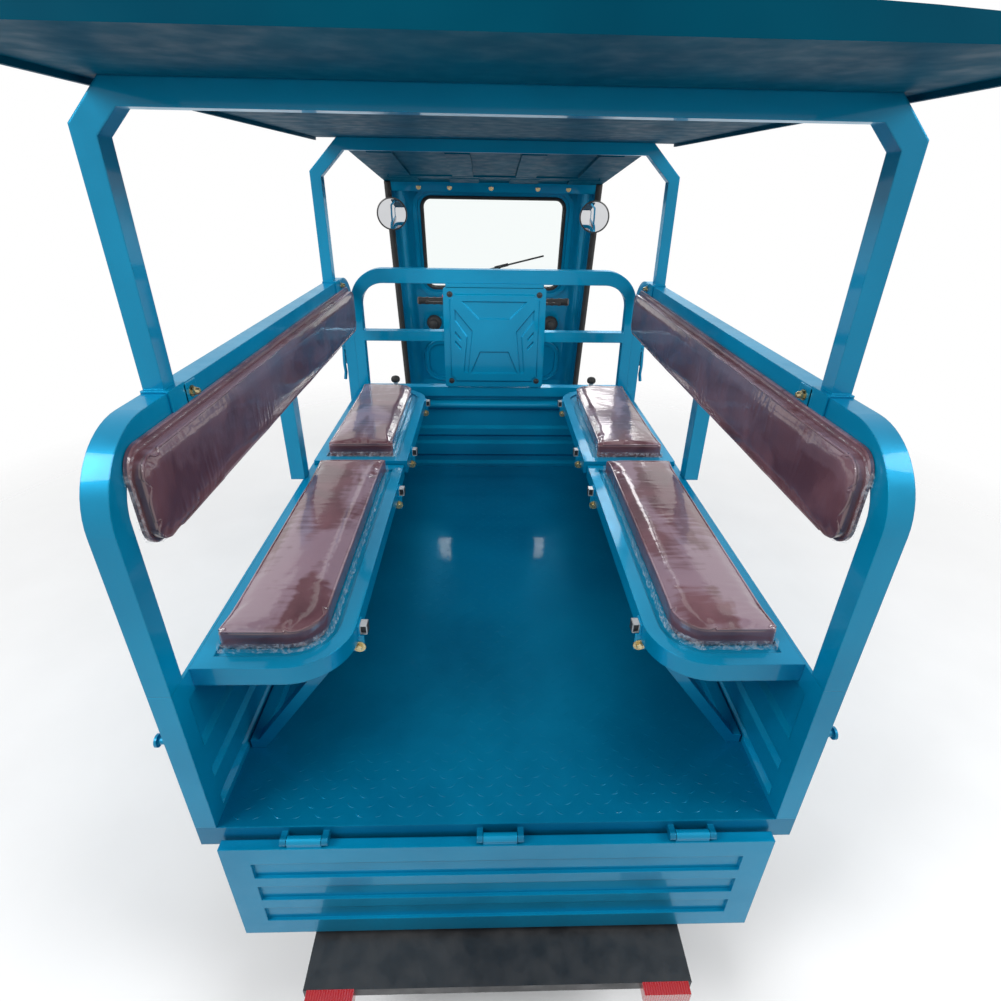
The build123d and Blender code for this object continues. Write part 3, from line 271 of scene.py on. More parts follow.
def clear_film():
    """Thin clear wrapping film, a little milky in its folds."""
    mat, tree, shader = material("film", (0.86, 0.86, 0.90), 0.12, coat=1.0)
    folds = object_noise(tree, 130.0, 4.0, distort=0.8)
    tree.links.new(ramp(tree, folds, 0.03, 0.30, 0.44, 0.66), shader.inputs["Alpha"])
    bump(tree, shader, folds, 0.5, 0.0015)
    return mat


MATERIALS["film"] = clear_film()
# each node's material slot in the record; every CAD node takes the finish of its slot;
# finishes that the record has no slot for, with the slot that they ride in
SLOT = {row["node"]: row["material_slot"] for row in frame["record"]["subparts"]}
for node, obj in nodes.items():
    obj.data.materials.clear()
    obj.data.materials.append(MATERIALS[SLOT[node]])
# the bed floor takes the darker copy of the body paint, a painted shade
nodes["bed_floor"].data.materials[0] = MATERIALS["bed_paint_with_painted_shade"]
ROOF_PAINT = roof_paint()
for node in ("cab_roof", "passenger_roof"):
    nodes[node].data.materials[0] = ROOF_PAINT


# Mesh helpers


def piece(name, bm, slot, body="vehicle_frame", smooth=True, bevel=0.0):
    """Turns a bmesh into an object that rides on a body and takes a slot's finish."""
    mesh = bpy.data.meshes.new(name)
    bmesh.ops.recalc_face_normals(bm, faces=bm.faces)
    bm.to_mesh(mesh)
    bm.free()
    obj = bpy.data.objects.new(name, mesh)
    bpy.context.scene.collection.objects.link(obj)
    mesh.materials.append(MATERIALS[slot])
    if smooth:
        mesh.polygons.foreach_set("use_smooth", [True] * len(mesh.polygons))
        mesh.set_sharp_from_angle(angle=math.radians(35))
    if bevel:
        round_edges = obj.modifiers.new("edges", "BEVEL")
        round_edges.width = bevel * MM
        round_edges.segments = 2
    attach(obj, body)
    return obj


def aim(point, axis):
    """The matrix that puts a shape made along z at a point, pointing along axis."""
    turn = Vector(axis).to_track_quat("Z", "Y").to_matrix().to_4x4()
    return Matrix.Translation(point) @ turn


def disc(bm, point, axis, radius, low, high, taper=1.0, sides=20):
    """A short round or many-sided stud from low to high mm along its axis."""
    made = bmesh.ops.create_cone(
        bm, cap_ends=True, segments=sides, radius1=radius * MM, radius2=radius * taper * MM,
        depth=(high - low) * MM,
    )
    move = aim(point, axis) @ Matrix.Translation((0, 0, (low + high) / 2 * MM))
    bmesh.ops.transform(bm, matrix=move, verts=made["verts"])


def bolt(bm, point, axis, radius):
    """A hexagon bolt: washer, head and a low domed top."""
    disc(bm, point, axis, radius * 1.75, -1, 0.16 * radius, 0.97, 28)
    disc(bm, point, axis, radius, 0.16 * radius, 0.75 * radius, 1.0, 6)
    disc(bm, point, axis, radius * 0.92, 0.75 * radius, 0.9 * radius, 0.8, 6)


def slab(bm, low, high):
    """A block between two corners given in mm of the bed's frame."""
    made = bmesh.ops.create_cube(bm, size=1.0)
    a, b = at(*low), at(*high)
    size = b - a
    stretch = Matrix.Diagonal((abs(size.x), abs(size.y), abs(size.z), 1))
    bmesh.ops.transform(bm, matrix=Matrix.Translation((a + b) / 2) @ stretch, verts=made["verts"])


def tube(bm, path, radius, closed=False, sides=10, flat=1.0):
    """A round or flattened tube along points; radius in mm, flat scales it along the path's side."""
    rings = []
    last = len(path) - 1
    for i, point in enumerate(path):
        before = path[i - 1] if i or closed else point
        after = path[(i + 1) % len(path)] if i < last or closed else point
        along = (after - before).normalized()
        side = along.cross(Vector((0, 0, 1) if abs(along.z) < 0.9 else (1, 0, 0))).normalized()
        over = side.cross(along)
        ring = []
        for k in range(sides):
            turn = 2 * math.pi * k / sides
            spoke = side * math.cos(turn) * flat + over * math.sin(turn)
            ring.append(bm.verts.new(point + spoke * radius * MM))
        rings.append(ring)
    for a, b in zip(rings, rings[1:] + (rings[:1] if closed else [])):
        shift = min(range(sides), key=lambda k: (a[k].co - b[0].co).length)
        a = a[shift:] + a[:shift]
        for k in range(sides):
            bm.faces.new((a[k], a[(k + 1) % sides], b[(k + 1) % sides], b[k]))
    if not closed:
        bm.faces.new(rings[0][::-1])
        bm.faces.new(rings[-1])


def lathe(bm, point, axis, profile, sides=28):
    """A turned shape from (radius, height) pairs in mm, from a pole or rim to another."""
    move = aim(point, axis)
    rings = []
    for radius, height in profile:
        count = sides if radius > 0 else 1
        turns = [2 * math.pi * k / sides for k in range(count)]
        points = [Vector((radius * math.cos(t) * MM, radius * math.sin(t) * MM, height * MM)) for t in turns]
        rings.append([bm.verts.new(move @ point) for point in points])
    for a, b in zip(rings, rings[1:]):
        for k in range(sides):
            corners = (a[k % len(a)], a[(k + 1) % len(a)], b[(k + 1) % len(b)], b[k % len(b)])
            bm.faces.new(list(dict.fromkeys(corners)))


def rounded_loop(half, low, high, radius, steps=6):
    """Points (across, up) of a rectangle with round corners, in mm, once round."""
    points = []
    corners = [(half - radius, high - radius, 0), (radius - half, high - radius, 90),
               (radius - half, low + radius, 180), (half - radius, low + radius, 270)]
    for x, z, start in corners:
        for k in range(steps + 1):
            turn = math.radians(start + 90 * k / steps)
            points.append((x + radius * math.cos(turn), z + radius * math.sin(turn)))
    return points


def hit(node, start, way):
    """Where a ray first meets a CAD node."""
    found, place = nodes[node].ray_cast(start, Vector(way))[:2]
    assert found, node
    return place


# Pads: foam in leatherette, swollen by a cloth simulation and wrapped in film

CLOTH_FRAMES = 20
PAD_PRESSURE = 4.0
WELT_R = 2.6
FOLD_RIM = 0.06  # how far in from a pad's rim the film's folds stand higher, in metres


def swell(obj, pressure, cap):
    """Puffs a mesh with cloth pressure and caps how far its points may move, in mm."""
    scene = bpy.context.scene
    start = [v.co.copy() for v in obj.data.vertices]
    cloth = obj.modifiers.new("swell", "CLOTH")
    cloth.settings.use_pressure = True
    cloth.settings.uniform_pressure_force = pressure
    cloth.settings.effector_weights.gravity = 0
    cloth.point_cache.frame_start = 1
    cloth.point_cache.frame_end = CLOTH_FRAMES
    for step in range(1, CLOTH_FRAMES + 1):
        scene.frame_set(step)
    shaped = obj.evaluated_get(bpy.context.evaluated_depsgraph_get())
    moved = [v.co.copy() for v in shaped.data.vertices]
    obj.modifiers.remove(cloth)
    scene.frame_set(1)
    for vert, a, b in zip(obj.data.vertices, start, moved):
        shift = b - a
        vert.co = a + (shift if shift.length < cap * MM else shift.normalized() * cap * MM)


def film_folds(obj, height):
    """The film's cross folds: fine ridges over the pad's width, higher towards its rims."""
    mesh = obj.data
    normals = [v.normal.copy() for v in mesh.vertices]
    low = Vector([min(v.co[i] for v in mesh.vertices) for i in range(3)])
    high = Vector([max(v.co[i] for v in mesh.vertices) for i in range(3)])
    for vert, normal in zip(mesh.vertices, normals):
        co = vert.co
        sides = max(co.x - low.x, co.z - low.z), max(high.x - co.x, co.z - low.z)
        near = 1.0 - min(1.0, min(co.y - low.y, high.y - co.y, *sides) / FOLD_RIM)
        across = noise.noise(Vector((co.x * 6, co.y * 50, co.z * 9)))
        ridge = max(0.0, 1.0 - abs(across) * 4.0)
        gate = max(0.0, noise.noise(co * 11.0 + Vector((3.1, 0, 0))) + 0.15)
        vert.co = co + normal * height * MM * ridge * gate * (0.7 + 1.3 * near)


def rim_outline(node, face, step):
    """Points about a step apart round the open face of a pad's CAD solid, with the axes that they lie in."""
    flat = [i for i in range(3) if abs(face[i]) < 0.5]
    source = [v.co for v in nodes[node].data.vertices]
    level = max(co.dot(face) for co in source)
    rim = [Vector((co[flat[0]], co[flat[1]])) for co in source if level - co.dot(face) < MM]
    mid = sum(rim, Vector((0, 0))) / len(rim)
    rim.sort(key=lambda p: math.atan2(p.y - mid.y, p.x - mid.x))
    outline = []
    for a, b in zip(rim, rim[1:] + rim[:1]):
        steps = max(1, round((b - a).length / step / MM))
        outline += [a + (b - a) * k / steps for k in range(steps)]
    return flat, outline


def outward(outline, i):
    """The outward direction at a point of an outline that runs anticlockwise."""
    along = (outline[(i + 1) % len(outline)] - outline[i - 1]).normalized()
    return Vector((along.y, -along.x))


def film_edge(node, face):
    """The loose edge of the wrapping film: a crinkled frill round the pad's flanks."""
    face = Vector(face)
    flat, outline = rim_outline(node, face, FRILL_STEP)
    levels = [v.co.dot(face) for v in nodes[node].data.vertices]
    base, top = min(levels), max(levels)
    bm = bmesh.new()
    rows = []
    for share, flare in FRILL:
        row = []
        for i, here in enumerate(outline):
            out = outward(outline, i)
            crinkle = noise.noise(Vector((here.x * 75, here.y * 75, share * 3)))
            under_rail = flat == [1, 2] and out.y > 0.6
            spread = min(flare * (1.0 + 0.9 * crinkle), FRILL_UNDER_RAIL if under_rail else FRILL_MOST)
            place = here + out * spread * MM
            ripple = noise.noise(Vector((here.x * 90, here.y * 90, 7)))
            point = face * (base + (top - base) * share + ripple * FRILL_RIPPLE * MM)
            point[flat[0]], point[flat[1]] = place.x, place.y
            row.append(bm.verts.new(point))
        rows.append(row)
    for a, b in zip(rows, rows[1:]):
        for k in range(len(a)):
            bm.faces.new((a[k], a[(k + 1) % len(a)], b[(k + 1) % len(b)], b[k]))
    piece(node + "_film", bm, "film")


FRILL = [
    # height up the pad's flank, how far out (mm)
    (0.50, 0.4), (0.36, 1.0), (0.24, 1.8), (0.15, 2.7), (0.09, 3.6),
]
FRILL_MOST = 5.0
FRILL_UNDER_RAIL = 1.0
FRILL_RIPPLE = 1.5
FRILL_STEP = 4.0
WELT_STEP = 8.0


def welt(obj, node, face, radius):
    """A piped seam along the rim of a pad's open face, laid on the swollen mesh."""
    face = Vector(face)
    flat, outline = rim_outline(node, face, WELT_STEP)
    cells = {}
    size = 20 * MM
    for vert in obj.data.vertices:
        key = (int(vert.co[flat[0]] // size), int(vert.co[flat[1]] // size))
        cells.setdefault(key, []).append(vert.co)
    path = []
    for i, here in enumerate(outline):
        out = outward(outline, i)
        reach = Vector((0, 0, 0))
        reach[flat[0]], reach[flat[1]] = out.x, out.y
        reach = (reach + face).normalized()
        key = (int(here.x // size), int(here.y // size))
        around = [(key[0] + i, key[1] + j) for i in (-1, 0, 1) for j in (-1, 0, 1)]
        close = [co for cell in around for co in cells.get(cell, [])]
        path.append(max(close, key=lambda co: co.dot(reach)).copy())
    for smoothing in range(3):
        path = [(a + b * 2 + c) / 4 for a, b, c in zip(path[-1:] + path[:-1], path, path[1:] + path[:1])]
    bm = bmesh.new()
    tube(bm, path, radius, closed=True)
    piece(node + "_welt", bm, "leatherette")


def pad(node, face, voxel, cap, shrink, folds, fine):
    """A swollen copy of a pad's CAD solid that stands for it."""
    source = nodes[node]
    low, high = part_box(node)
    mid = (low + high) / 2
    half = (high - low) / 2
    mesh = source.data.copy()
    for vert in mesh.vertices:
        for i in range(3):
            keep = 1.0 - shrink * MM / half[i]
            vert.co[i] = mid[i] + (vert.co[i] - mid[i]) * keep
    obj = bpy.data.objects.new(node + "_wrapped", mesh)
    bpy.context.scene.collection.objects.link(obj)
    bpy.context.view_layer.objects.active = obj
    mesh.remesh_voxel_size = voxel * MM
    with bpy.context.temp_override(object=obj, active_object=obj, selected_objects=[obj]):
        bpy.ops.object.voxel_remesh()
    swell(obj, PAD_PRESSURE, cap)
    if fine:
        smooth = obj.modifiers.new("fine", "SUBSURF")
        smooth.levels = 1
        shaped = obj.evaluated_get(bpy.context.evaluated_depsgraph_get())
        finer = bpy.data.meshes.new_from_object(shaped)
        obj.modifiers.remove(smooth)
        obj.data = finer
    film_folds(obj, folds)
    obj.data.materials.clear()
    obj.data.materials.append(MATERIALS["leatherette"])
    obj.data.polygons.foreach_set("use_smooth", [True] * len(obj.data.polygons))
    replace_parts(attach(obj, "vehicle_frame"), node)
    welt(obj, node, face, WELT_R)
    if fine:
        film_edge(node, face)


UP, TO_RIGHT, TO_LEFT, AHEAD = (0, 0, 1), (1, 0, 0), (-1, 0, 0), (0, 1, 0)
PADS = [
    # node, open face, voxel, cap, shrink, folds (mm), fine
    ("bench_pad_rear_left", UP, 7, 7, 2, 1.0, True),
    ("bench_pad_rear_right", UP, 7, 7, 2, 1.0, True),
    ("bench_pad_front_left", UP, 7, 7, 2, 1.0, True),
    ("bench_pad_front_right", UP, 7, 7, 2, 1.0, True),
    ("back_pad_left", TO_RIGHT, 6, 5, 2, 1.2, True),
    ("back_pad_right", TO_LEFT, 6, 5, 2, 1.2, True),
    ("driver_seat_pad", UP, 8, 8, 5, 0.8, False),
    ("driver_back_pad", AHEAD, 8, 8, 5, 0.8, False),
]
for row in PADS:
    pad(*row)


def back_boards():
    """The covered boards that the back pads are sewn round, reaching up behind the rails' lower edge."""
    for node, side in (("back_pad_left", -1), ("back_pad_right", 1)):
        low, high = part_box(node)
        rise = (low.z - BED_FLOOR) / MM - 1, (high.z - BED_FLOOR) / MM + BOARD_RISE
        mid_y, half_y = (low.y + high.y) / 2, (high.y - low.y) / 2 / MM
        bm = bmesh.new()
        loops = []
        for inward, grow in BOARD_SECTION:
            x = side * (RAIL_IN - inward) * MM
            outline = rounded_loop(half_y - 1 + grow, rise[0] - grow, rise[1] + grow, BOARD_CORNER, 8)
            points = [Vector((x, mid_y + y * MM, BED_FLOOR + z * MM)) for y, z in outline]
            loops.append([bm.verts.new(point) for point in points])
        for a, b in zip(loops, loops[1:]):
            for k in range(len(a)):
                bm.faces.new((a[k], a[(k + 1) % len(a)], b[(k + 1) % len(b)], b[k]))
        bm.faces.new(loops[0][::-1])
        bm.faces.new(loops[-1])
        piece(node.replace("pad", "board"), bm, "leatherette")


BOARD_RISE = 9.0
BOARD_CORNER = 40.0
BOARD_SECTION = [
    # how far in from the rail's inner face, how far the outline is drawn in there (less than 0)
    (0.0, -2.0), (1.5, 0.0), (7.0, 0.0), (9.0, -2.0),
]
RAIL_IN = 550.0
back_boards()


# Chequer marks on the bed floor


def floor_marks():
    """Slim raised ticks in staggered rows, bent and tilted one way and the other by turns."""
    bm = bmesh.new()
    low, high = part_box("bed_floor")
    columns = int((high.x - low.x) / MM / TICK_PITCH) - 2
    rows = int((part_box("front_wall")[0].y - BED_REAR) / MM / (TICK_PITCH * 0.5)) - 1
    for j in range(rows):
        for i in range(columns):
            turn = TICK_TILT if (i + j) % 2 else -TICK_TILT
            mid = at((i - columns / 2 + 0.5 + 0.5 * (j % 2)) * TICK_PITCH, (j + 1) * TICK_PITCH * 0.5, 0)
            along = Vector((math.cos(turn), math.sin(turn), 0))
            side = Vector((-along.y, along.x, 0))
            crest, left, right = [], [], []
            for k in range(5):
                t = k / 2 - 1
                wide = TICK_HALF * (1 - t * t) + TICK_TIP
                foot = mid + (along * t * TICK_REACH + side * (t * t - 0.5) * TICK_BEND) * MM
                left.append(bm.verts.new(foot + side * wide * MM))
                right.append(bm.verts.new(foot - side * wide * MM))
                crest.append(bm.verts.new(foot + Vector((0, 0, TICK_RISE * (1 - t * t) * MM))))
            for k in range(4):
                bm.faces.new((left[k], left[k + 1], crest[k + 1], crest[k]))
                bm.faces.new((crest[k], crest[k + 1], right[k + 1], right[k]))
    piece("floor_chequer_marks", bm, "bed_paint_with_painted_shade")


TICK_PITCH = 40.0
TICK_REACH = 10.0
TICK_HALF = 1.6
TICK_TIP = 0.05
TICK_RISE = 0.7
TICK_BEND = 2.4
TICK_TILT = math.radians(28)
floor_marks()


# Bolts, catches and rubber round the bed

SIDES = (-1, 1)
BOW_FRONTS = (258.0, 1410.0)
BENCH_LUGS = [
    # y of the leg's rear face, inner edge of the bench, underside of its rim
    (177.0, 280.0, 313.0), (737.0, 280.0, 313.0), (978.0, 270.0, 325.0), (1434.0, 270.0, 325.0),
]
LUG = 15.0
LUG_H = 22.0
LUG_WALL = 2.0
LUG_REACH = 20.0


def rail_bolts():
    """A plate and an acorn nut on each rail just ahead of every roof post."""
    plates, nuts = bmesh.new(), bmesh.new()
    for side in SIDES:
        for y in BOW_FRONTS:
            slab(plates, (side * RAIL_IN, y + 4, 769), (side * (RAIL_IN - 4), y + 48, 806))
            spot = at(side * (RAIL_IN - 4), y + 28, 788)
            disc(nuts, spot, (-side, 0, 0), 10.5, -1, 1.8, 0.96, 24)
            disc(nuts, spot, (-side, 0, 0), 7.5, 1.8, 8, 1.0, 6)
            lathe(nuts, spot, (-side, 0, 0), [(6.6, 8), (6.0, 11), (4.2, 14), (0, 15.5)], 18)
    piece("rail_plates", plates, "body_paint", bevel=1.2)
    piece("rail_nuts", nuts, "zinc")


def bench_lugs():
    """A tab with a brass bolt and a small open catch where each leg meets its bench's rim."""
    tabs, catches, holes, bolts = (bmesh.new() for k in range(4))
    for side in SIDES:
        for y, inner, under in BENCH_LUGS:
            slab(tabs, (side * (inner + 14), y - 6, under - 26), (side * (inner - 12), y - 2, under + 14))
            slab(tabs, (side * (inner + 1), y - 4, under + 2), (side * (inner - 4), y + 26, under + 36))
            bolt(bolts, at(side * (inner - 1), y - 6, under - 13), (0, -1, 0), 7.5)
            x = [side * (inner - 3 - d) for d in (0, LUG_WALL, LUG - LUG_WALL, LUG)]
            z = [under + 12 + d for d in (0, LUG_WALL, LUG_H - LUG_WALL, LUG_H)]
            for i in (0, 2):
                slab(catches, (x[i], y, z[0]), (x[i + 1], y + LUG_REACH, z[3]))
                slab(catches, (x[0], y, z[i]), (x[3], y + LUG_REACH, z[i + 1]))
            slab(holes, (x[0], y + 4, z[0] + 1), (x[3] - side, y + LUG_REACH - 2, z[3] - 1))
    piece("bench_tabs", tabs, "body_paint", bevel=0.8)
    piece("bench_catches", catches, "rim_paint", bevel=0.5)
    piece("bench_catch_holes", holes, "black_plastic", bevel=0.5)
    piece("bench_leg_bolts", bolts, "zinc")


def panel_bolts():
    """A screw on a washer in each corner of the guard panel, and its flange up to the rail."""
    low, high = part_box("guard_panel")
    bm = bmesh.new()
    for x in (low.x + SCREW_IN * MM, high.x - SCREW_IN * MM):
        for z in (low.z + SCREW_IN * MM, high.z - SCREW_IN * MM):
            spot = hit("guard_panel", Vector((x, low.y - 0.1, z)), (0, 1, 0))
            disc(bm, spot, (0, -1, 0), SCREW_WASHER_R, -1, 1.6, 0.95, 28)
            lathe(bm, spot, (0, -1, 0), SCREW_HEAD, 20)
    piece("panel_screws", bm, "chassis_paint")
    bm = bmesh.new()
    half, back, top = high.x / MM - FLANGE_IN, (high.y - BED_REAR) / MM, (high.z - BED_FLOOR) / MM
    slab(bm, (-half, back - 6, top - 2), (half, back - 0.5, top + FLANGE_RISE))
    piece("panel_flange", bm, "body_paint", smooth=False)


SCREW_IN = 26.0
SCREW_WASHER_R = 11.5
SCREW_HEAD = [(7.6, 1.6), (7.4, 3.0), (5.2, 4.6), (3.7, 5.0), (3.2, 3.4), (0, 3.2)]
FLANGE_IN = 12.0
FLANGE_RISE = 14.0


def wall_buffers():
    """Rubber buffers on steel studs on top of the front wall."""
    rubber, studs = bmesh.new(), bmesh.new()
    for side in SIDES:
        spot = at(side * BUFFER[0], BUFFER[1], BUFFER[2])
        lathe(studs, spot, (0, 0, 1), BUFFER_STUD, 24)
        lathe(rubber, spot, (0, 0, 1), BUFFER_HEAD, 24)
    piece("buffer_studs", studs, "rim_paint")
    piece("buffer_rubber", rubber, "black_rubber")


BUFFER = (405.0, 1600.0, 369.0)
BUFFER_STUD = [(0, -1), (13, -1), (13, 3), (9, 4), (9, 12), (12, 13), (12, 15), (0, 15)]
BUFFER_HEAD = [(0, 14), (15, 15), (18, 20), (18, 28), (14, 35), (8, 38), (0, 39)]


def toggle_latches():
    """Over-centre latches on the outer side of the bed's front posts."""
    bm = bmesh.new()
    for side in SIDES:
        x = side * POST_OUT
        slab(bm, (x, 1582, 462), (x + side * 3, 1602, 548))
        for y in (1583, 1599):
            slab(bm, (x, y, 520), (x + side * 15, y + 2.5, 546))
        disc(bm, at(x + side * 9, 1580, 534), (0, 1, 0), 4.5, 0, 25, 1.0, 16)
        tube(bm, [at(x + side * d, LATCH_Y, z) for d, z in LATCH_LEVER], 6.5, sides=12)
        tube(bm, [at(x + side * 8, LATCH_Y + d, z) for d, z in LATCH_LOOP], 2.2, sides=8)
    piece("toggle_latches", bm, "body_paint", bevel=0.6)


POST_OUT = 590.0
LATCH_Y = 1592.0
LATCH_LEVER = [(9, 536), (12, 500), (14, 460), (12, 425), (17, 396)]
LATCH_LOOP = [(-8, 520), (-8, 470), (-5, 462), (5, 462), (8, 470), (8, 520)]


rail_bolts()
bench_lugs()
panel_bolts()
wall_buffers()
toggle_latches()


# Rubber, screws, lamps, wiper and mirrors of the cab. The skin's points are (y, z), its loops are
# (half width, low, high, corner radius) and its spots are (x, z).

CAB_TOP = (2354.0, 1120.0)
CAB_SILL = (2624.0, 78.0)
CAB_FOOT = (2640.0, -240.0)
CAB_DEPTH = 150.0
CAB_SKIN = 24.0
CAB_HALF = 490.0
SCREEN = (345.0, 621.6, 1053.9, 45.0)
APRON = (382.2, 78.4, 324.8, 90.0)
LAMP = (318.0, 432.3)
BUTTON_X = 232.0
WIPER_FOOT = (-40.0, 600.0)
WIPER_ARM = (80.0, 130.0)
WIPER_TILT = math.radians(14.4)
SEAL_R = 8.0
TRIM_R = 15.0
BEAD_IN_R = 5.0
HEADER_X = (-340, -200, -12, 200, 340)


def skin_y(z):
    """Where the cab's front skin is at a height."""
    return CAB_TOP[0] + (CAB_TOP[1] - z) / (CAB_TOP[1] - CAB_SILL[1]) * (CAB_SILL[0] - CAB_TOP[0])


def on_skin(loop, behind):
    """A loop of (across, up) points laid behind the skin."""
    return [at(x, skin_y(z) - behind, z) for x, z in loop]


def cab_rubber():
    """The beading round the apron's arch, the screen's seal and the edge trim of the shell."""
    bm = bmesh.new()
    tube(bm, on_skin(rounded_loop(*APRON), CAB_SKIN + 9), BEAD_IN_R, closed=True)
    piece("apron_bead", bm, "body_paint")
    bm = bmesh.new()
    tube(bm, on_skin(rounded_loop(*SCREEN), CAB_SKIN + 2), SEAL_R, closed=True)
    tube(bm, on_skin(rounded_loop(*SCREEN), -2), SEAL_R, closed=True)
    for side in SIDES:
        edge = [at(side * (CAB_HALF - 12), y - CAB_DEPTH, z) for y, z in (CAB_TOP, CAB_SILL, CAB_FOOT)]
        tube(bm, edge, TRIM_R, sides=12)
    piece("cab_rubber", bm, "black_rubber")


def header_screws():
    """Zinc bolts along the inside of the cab's header."""
    bm = bmesh.new()
    for x in HEADER_X:
        bolt(bm, hit("cab_shell", at(x, 2050, 1098), (0, 1, 0)), (0, -1, 0), 6.5)
    piece("header_screws", bm, "zinc")


def lamp_plugs():
    """Rubber boots over the headlamp sockets, inside the skin, on painted rings."""
    boots, rings = bmesh.new(), bmesh.new()
    boot = [(38, 22), (40, 26), (40, 50), (37, 58), (30, 64), (22, 67), (20, 82), (14, 86), (0, 87)]
    ring = [(37, 24), (52, 24), (53, 28), (51, 32), (42, 33), (37, 31)]
    for side in SIDES:
        spot = at(side * LAMP[0], skin_y(LAMP[1]), LAMP[1])
        lathe(boots, spot, (0, -1, 0), boot)
        lathe(rings, spot, (0, -1, 0), ring)
    piece("lamp_boots", boots, "black_rubber")
    piece("lamp_rings", rings, "body_paint")


def convex_mirrors():
    """Domed mirror glasses in place of the flat ones."""
    low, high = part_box("mirror_glasses")
    radius = (high.z - low.z) / 2 / MM
    bm = bmesh.new()
    for x in (low.x + radius * MM, high.x - radius * MM):
        spot = Vector((x, high.y, (low.z + high.z) / 2))
        turns = [math.radians(90 - 10 * k) for k in range(9)]
        dome = [(radius * math.sin(a), MIRROR_RIM + MIRROR_RISE * (1 - math.sin(a) ** 2)) for a in turns]
        lathe(bm, spot, (0, -1, 0), [(radius, 0)] + dome + [(0, MIRROR_RIM + MIRROR_RISE)], 48)
    glasses = piece("convex_mirrors", bm, "mirror")
    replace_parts(glasses, "mirror_glasses")


MIRROR_RIM = 3
MIRROR_RISE = 5


def raised_wiper():
    """A wiper parked across the glass: a cranked arm from the CAD wiper's foot and a blade in its holder."""
    bm = bmesh.new()
    foot_x, foot_z = WIPER_FOOT

    def on_glass(x, z, off):
        """A point off the windscreen, ahead of it."""
        return at(x, skin_y(z) + off, z)

    lathe(bm, on_glass(foot_x, foot_z, 2), (0, 1, 0.26), [(0, -4), (13, -4), (13, 12), (9, 18), (0, 19)], 24)
    knee_x, knee_z = foot_x + WIPER_ARM[0], foot_z + WIPER_ARM[1]
    arm = (foot_x, foot_z, 18), (foot_x + 20, foot_z + 34, 24), (knee_x, knee_z, 20)
    tube(bm, [on_glass(*place) for place in arm], 5.5)
    slope = math.tan(WIPER_TILT)
    for start, end, radius, off in WIPER_BARS:
        ends = [on_glass(knee_x + d, knee_z + d * slope, off) for d in (start, (start + end) / 2, end)]
        tube(bm, ends, radius, flat=0.8)
    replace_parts(piece("wiper_arm_and_blade", bm, "black_plastic"), "wiper")


WIPER_BARS = [
    # blade, holder and back of the blade: start and end from the knee, radius, distance off the glass
    (-58, 222, 4.5, 9), (-30, 40, 8.0, 16), (-52, 205, 3.0, 15),
]


def lamp_bezels():
    """Bright rims round the headlamps' lenses."""
    bm = bmesh.new()
    rim = [(77, -4), (81, -2), (82, 10), (81, 24), (78, 30), (72, 31), (69, 27), (70, 22)]
    for side in SIDES:
        lathe(bm, at(side * LAMP[0], skin_y(LAMP[1]), LAMP[1]), (0, 1, 0), rim, 48)
    piece("lamp_bezels", bm, "rim_paint")


def nose_dressing():
    """Pressed beads, a rubbing strip and side lamps on the nose, which the photo does not show."""
    bm = bmesh.new()
    tube(bm, on_skin(rounded_loop(*NOSE_BEAD), BEAD_SUNK), BEAD_R, closed=True)
    for z in NOSE_RIBS:
        tube(bm, on_skin([(-RIB_HALF, z), (0, z), (RIB_HALF, z)], BEAD_SUNK), BEAD_R, sides=14)
    piece("nose_beads", bm, "body_paint")
    bm = bmesh.new()
    strip = [(-STRIP[0], STRIP[1]), (0, STRIP[1]), (STRIP[0], STRIP[1])]
    tube(bm, on_skin(strip, -STRIP_PROUD), STRIP_R, sides=14)
    lenses = bmesh.new()
    for side in SIDES:
        spot = at(side * BLINKER[0], skin_y(BLINKER[1]), BLINKER[1])
        lathe(bm, spot, (0, 1, 0), BLINKER_RIM, 32)
        lathe(lenses, spot, (0, 1, 0), BLINKER_LENS, 32)
    piece("nose_rubber", bm, "black_rubber")
    piece("nose_side_lamps", lenses, "lamp_lens")


NOSE_BEAD = (412.0, 120.0, 580.0, 60.0)
NOSE_RIBS = (385.0, 432.0, 479.0)
RIB_HALF = 185.0
BEAD_R = 9.0
BEAD_SUNK = 3.0
STRIP = (395.0, 92.0)
STRIP_R = 13.0
STRIP_PROUD = 6.0
BLINKER = (330.0, 270.0)
BLINKER_RIM = [(0, -4), (37, -4), (38, 6), (36, 14), (32, 15), (30, 10)]
BLINKER_LENS = [(30, 8), (29, 15), (24, 21), (13, 25), (0, 26)]


def stop_button():
    """A red push button on the housing beside the left grip."""
    ring = [v.co for v in nodes["hand_controls"].data.vertices if abs(v.co.x / MM + BUTTON_X) < 14]
    top = max(ring, key=lambda co: co.z)
    bm = bmesh.new()
    lathe(bm, top, (0, -0.5, 1), [(0, -4), (9, -4), (9, 3), (7, 4), (7, 8), (5.5, 9.5), (0, 10)], 20)
    piece("stop_button", bm, "lamp_red", "steering")


cab_rubber()
stop_button()
header_screws()
lamp_plugs()
lamp_bezels()
nose_dressing()
convex_mirrors()
raised_wiper()


# Tyres and wheel nuts

WHEELS = {"front": "front_wheel", "rear_left": "rear_wheel_left", "rear_right": "rear_wheel_right"}
LUGS = 44
LUG_STEPS = 6
TREAD_CUT = 5.0
NUTS = 5
NUT_RING = 56.0


def tyre_section(radius, half, bead):
    """Half the tyre's section as (radius, across) pairs, from bead to crown."""
    return [(bead + up * (radius - bead), out * half) for up, out in TYRE_SHAPE]


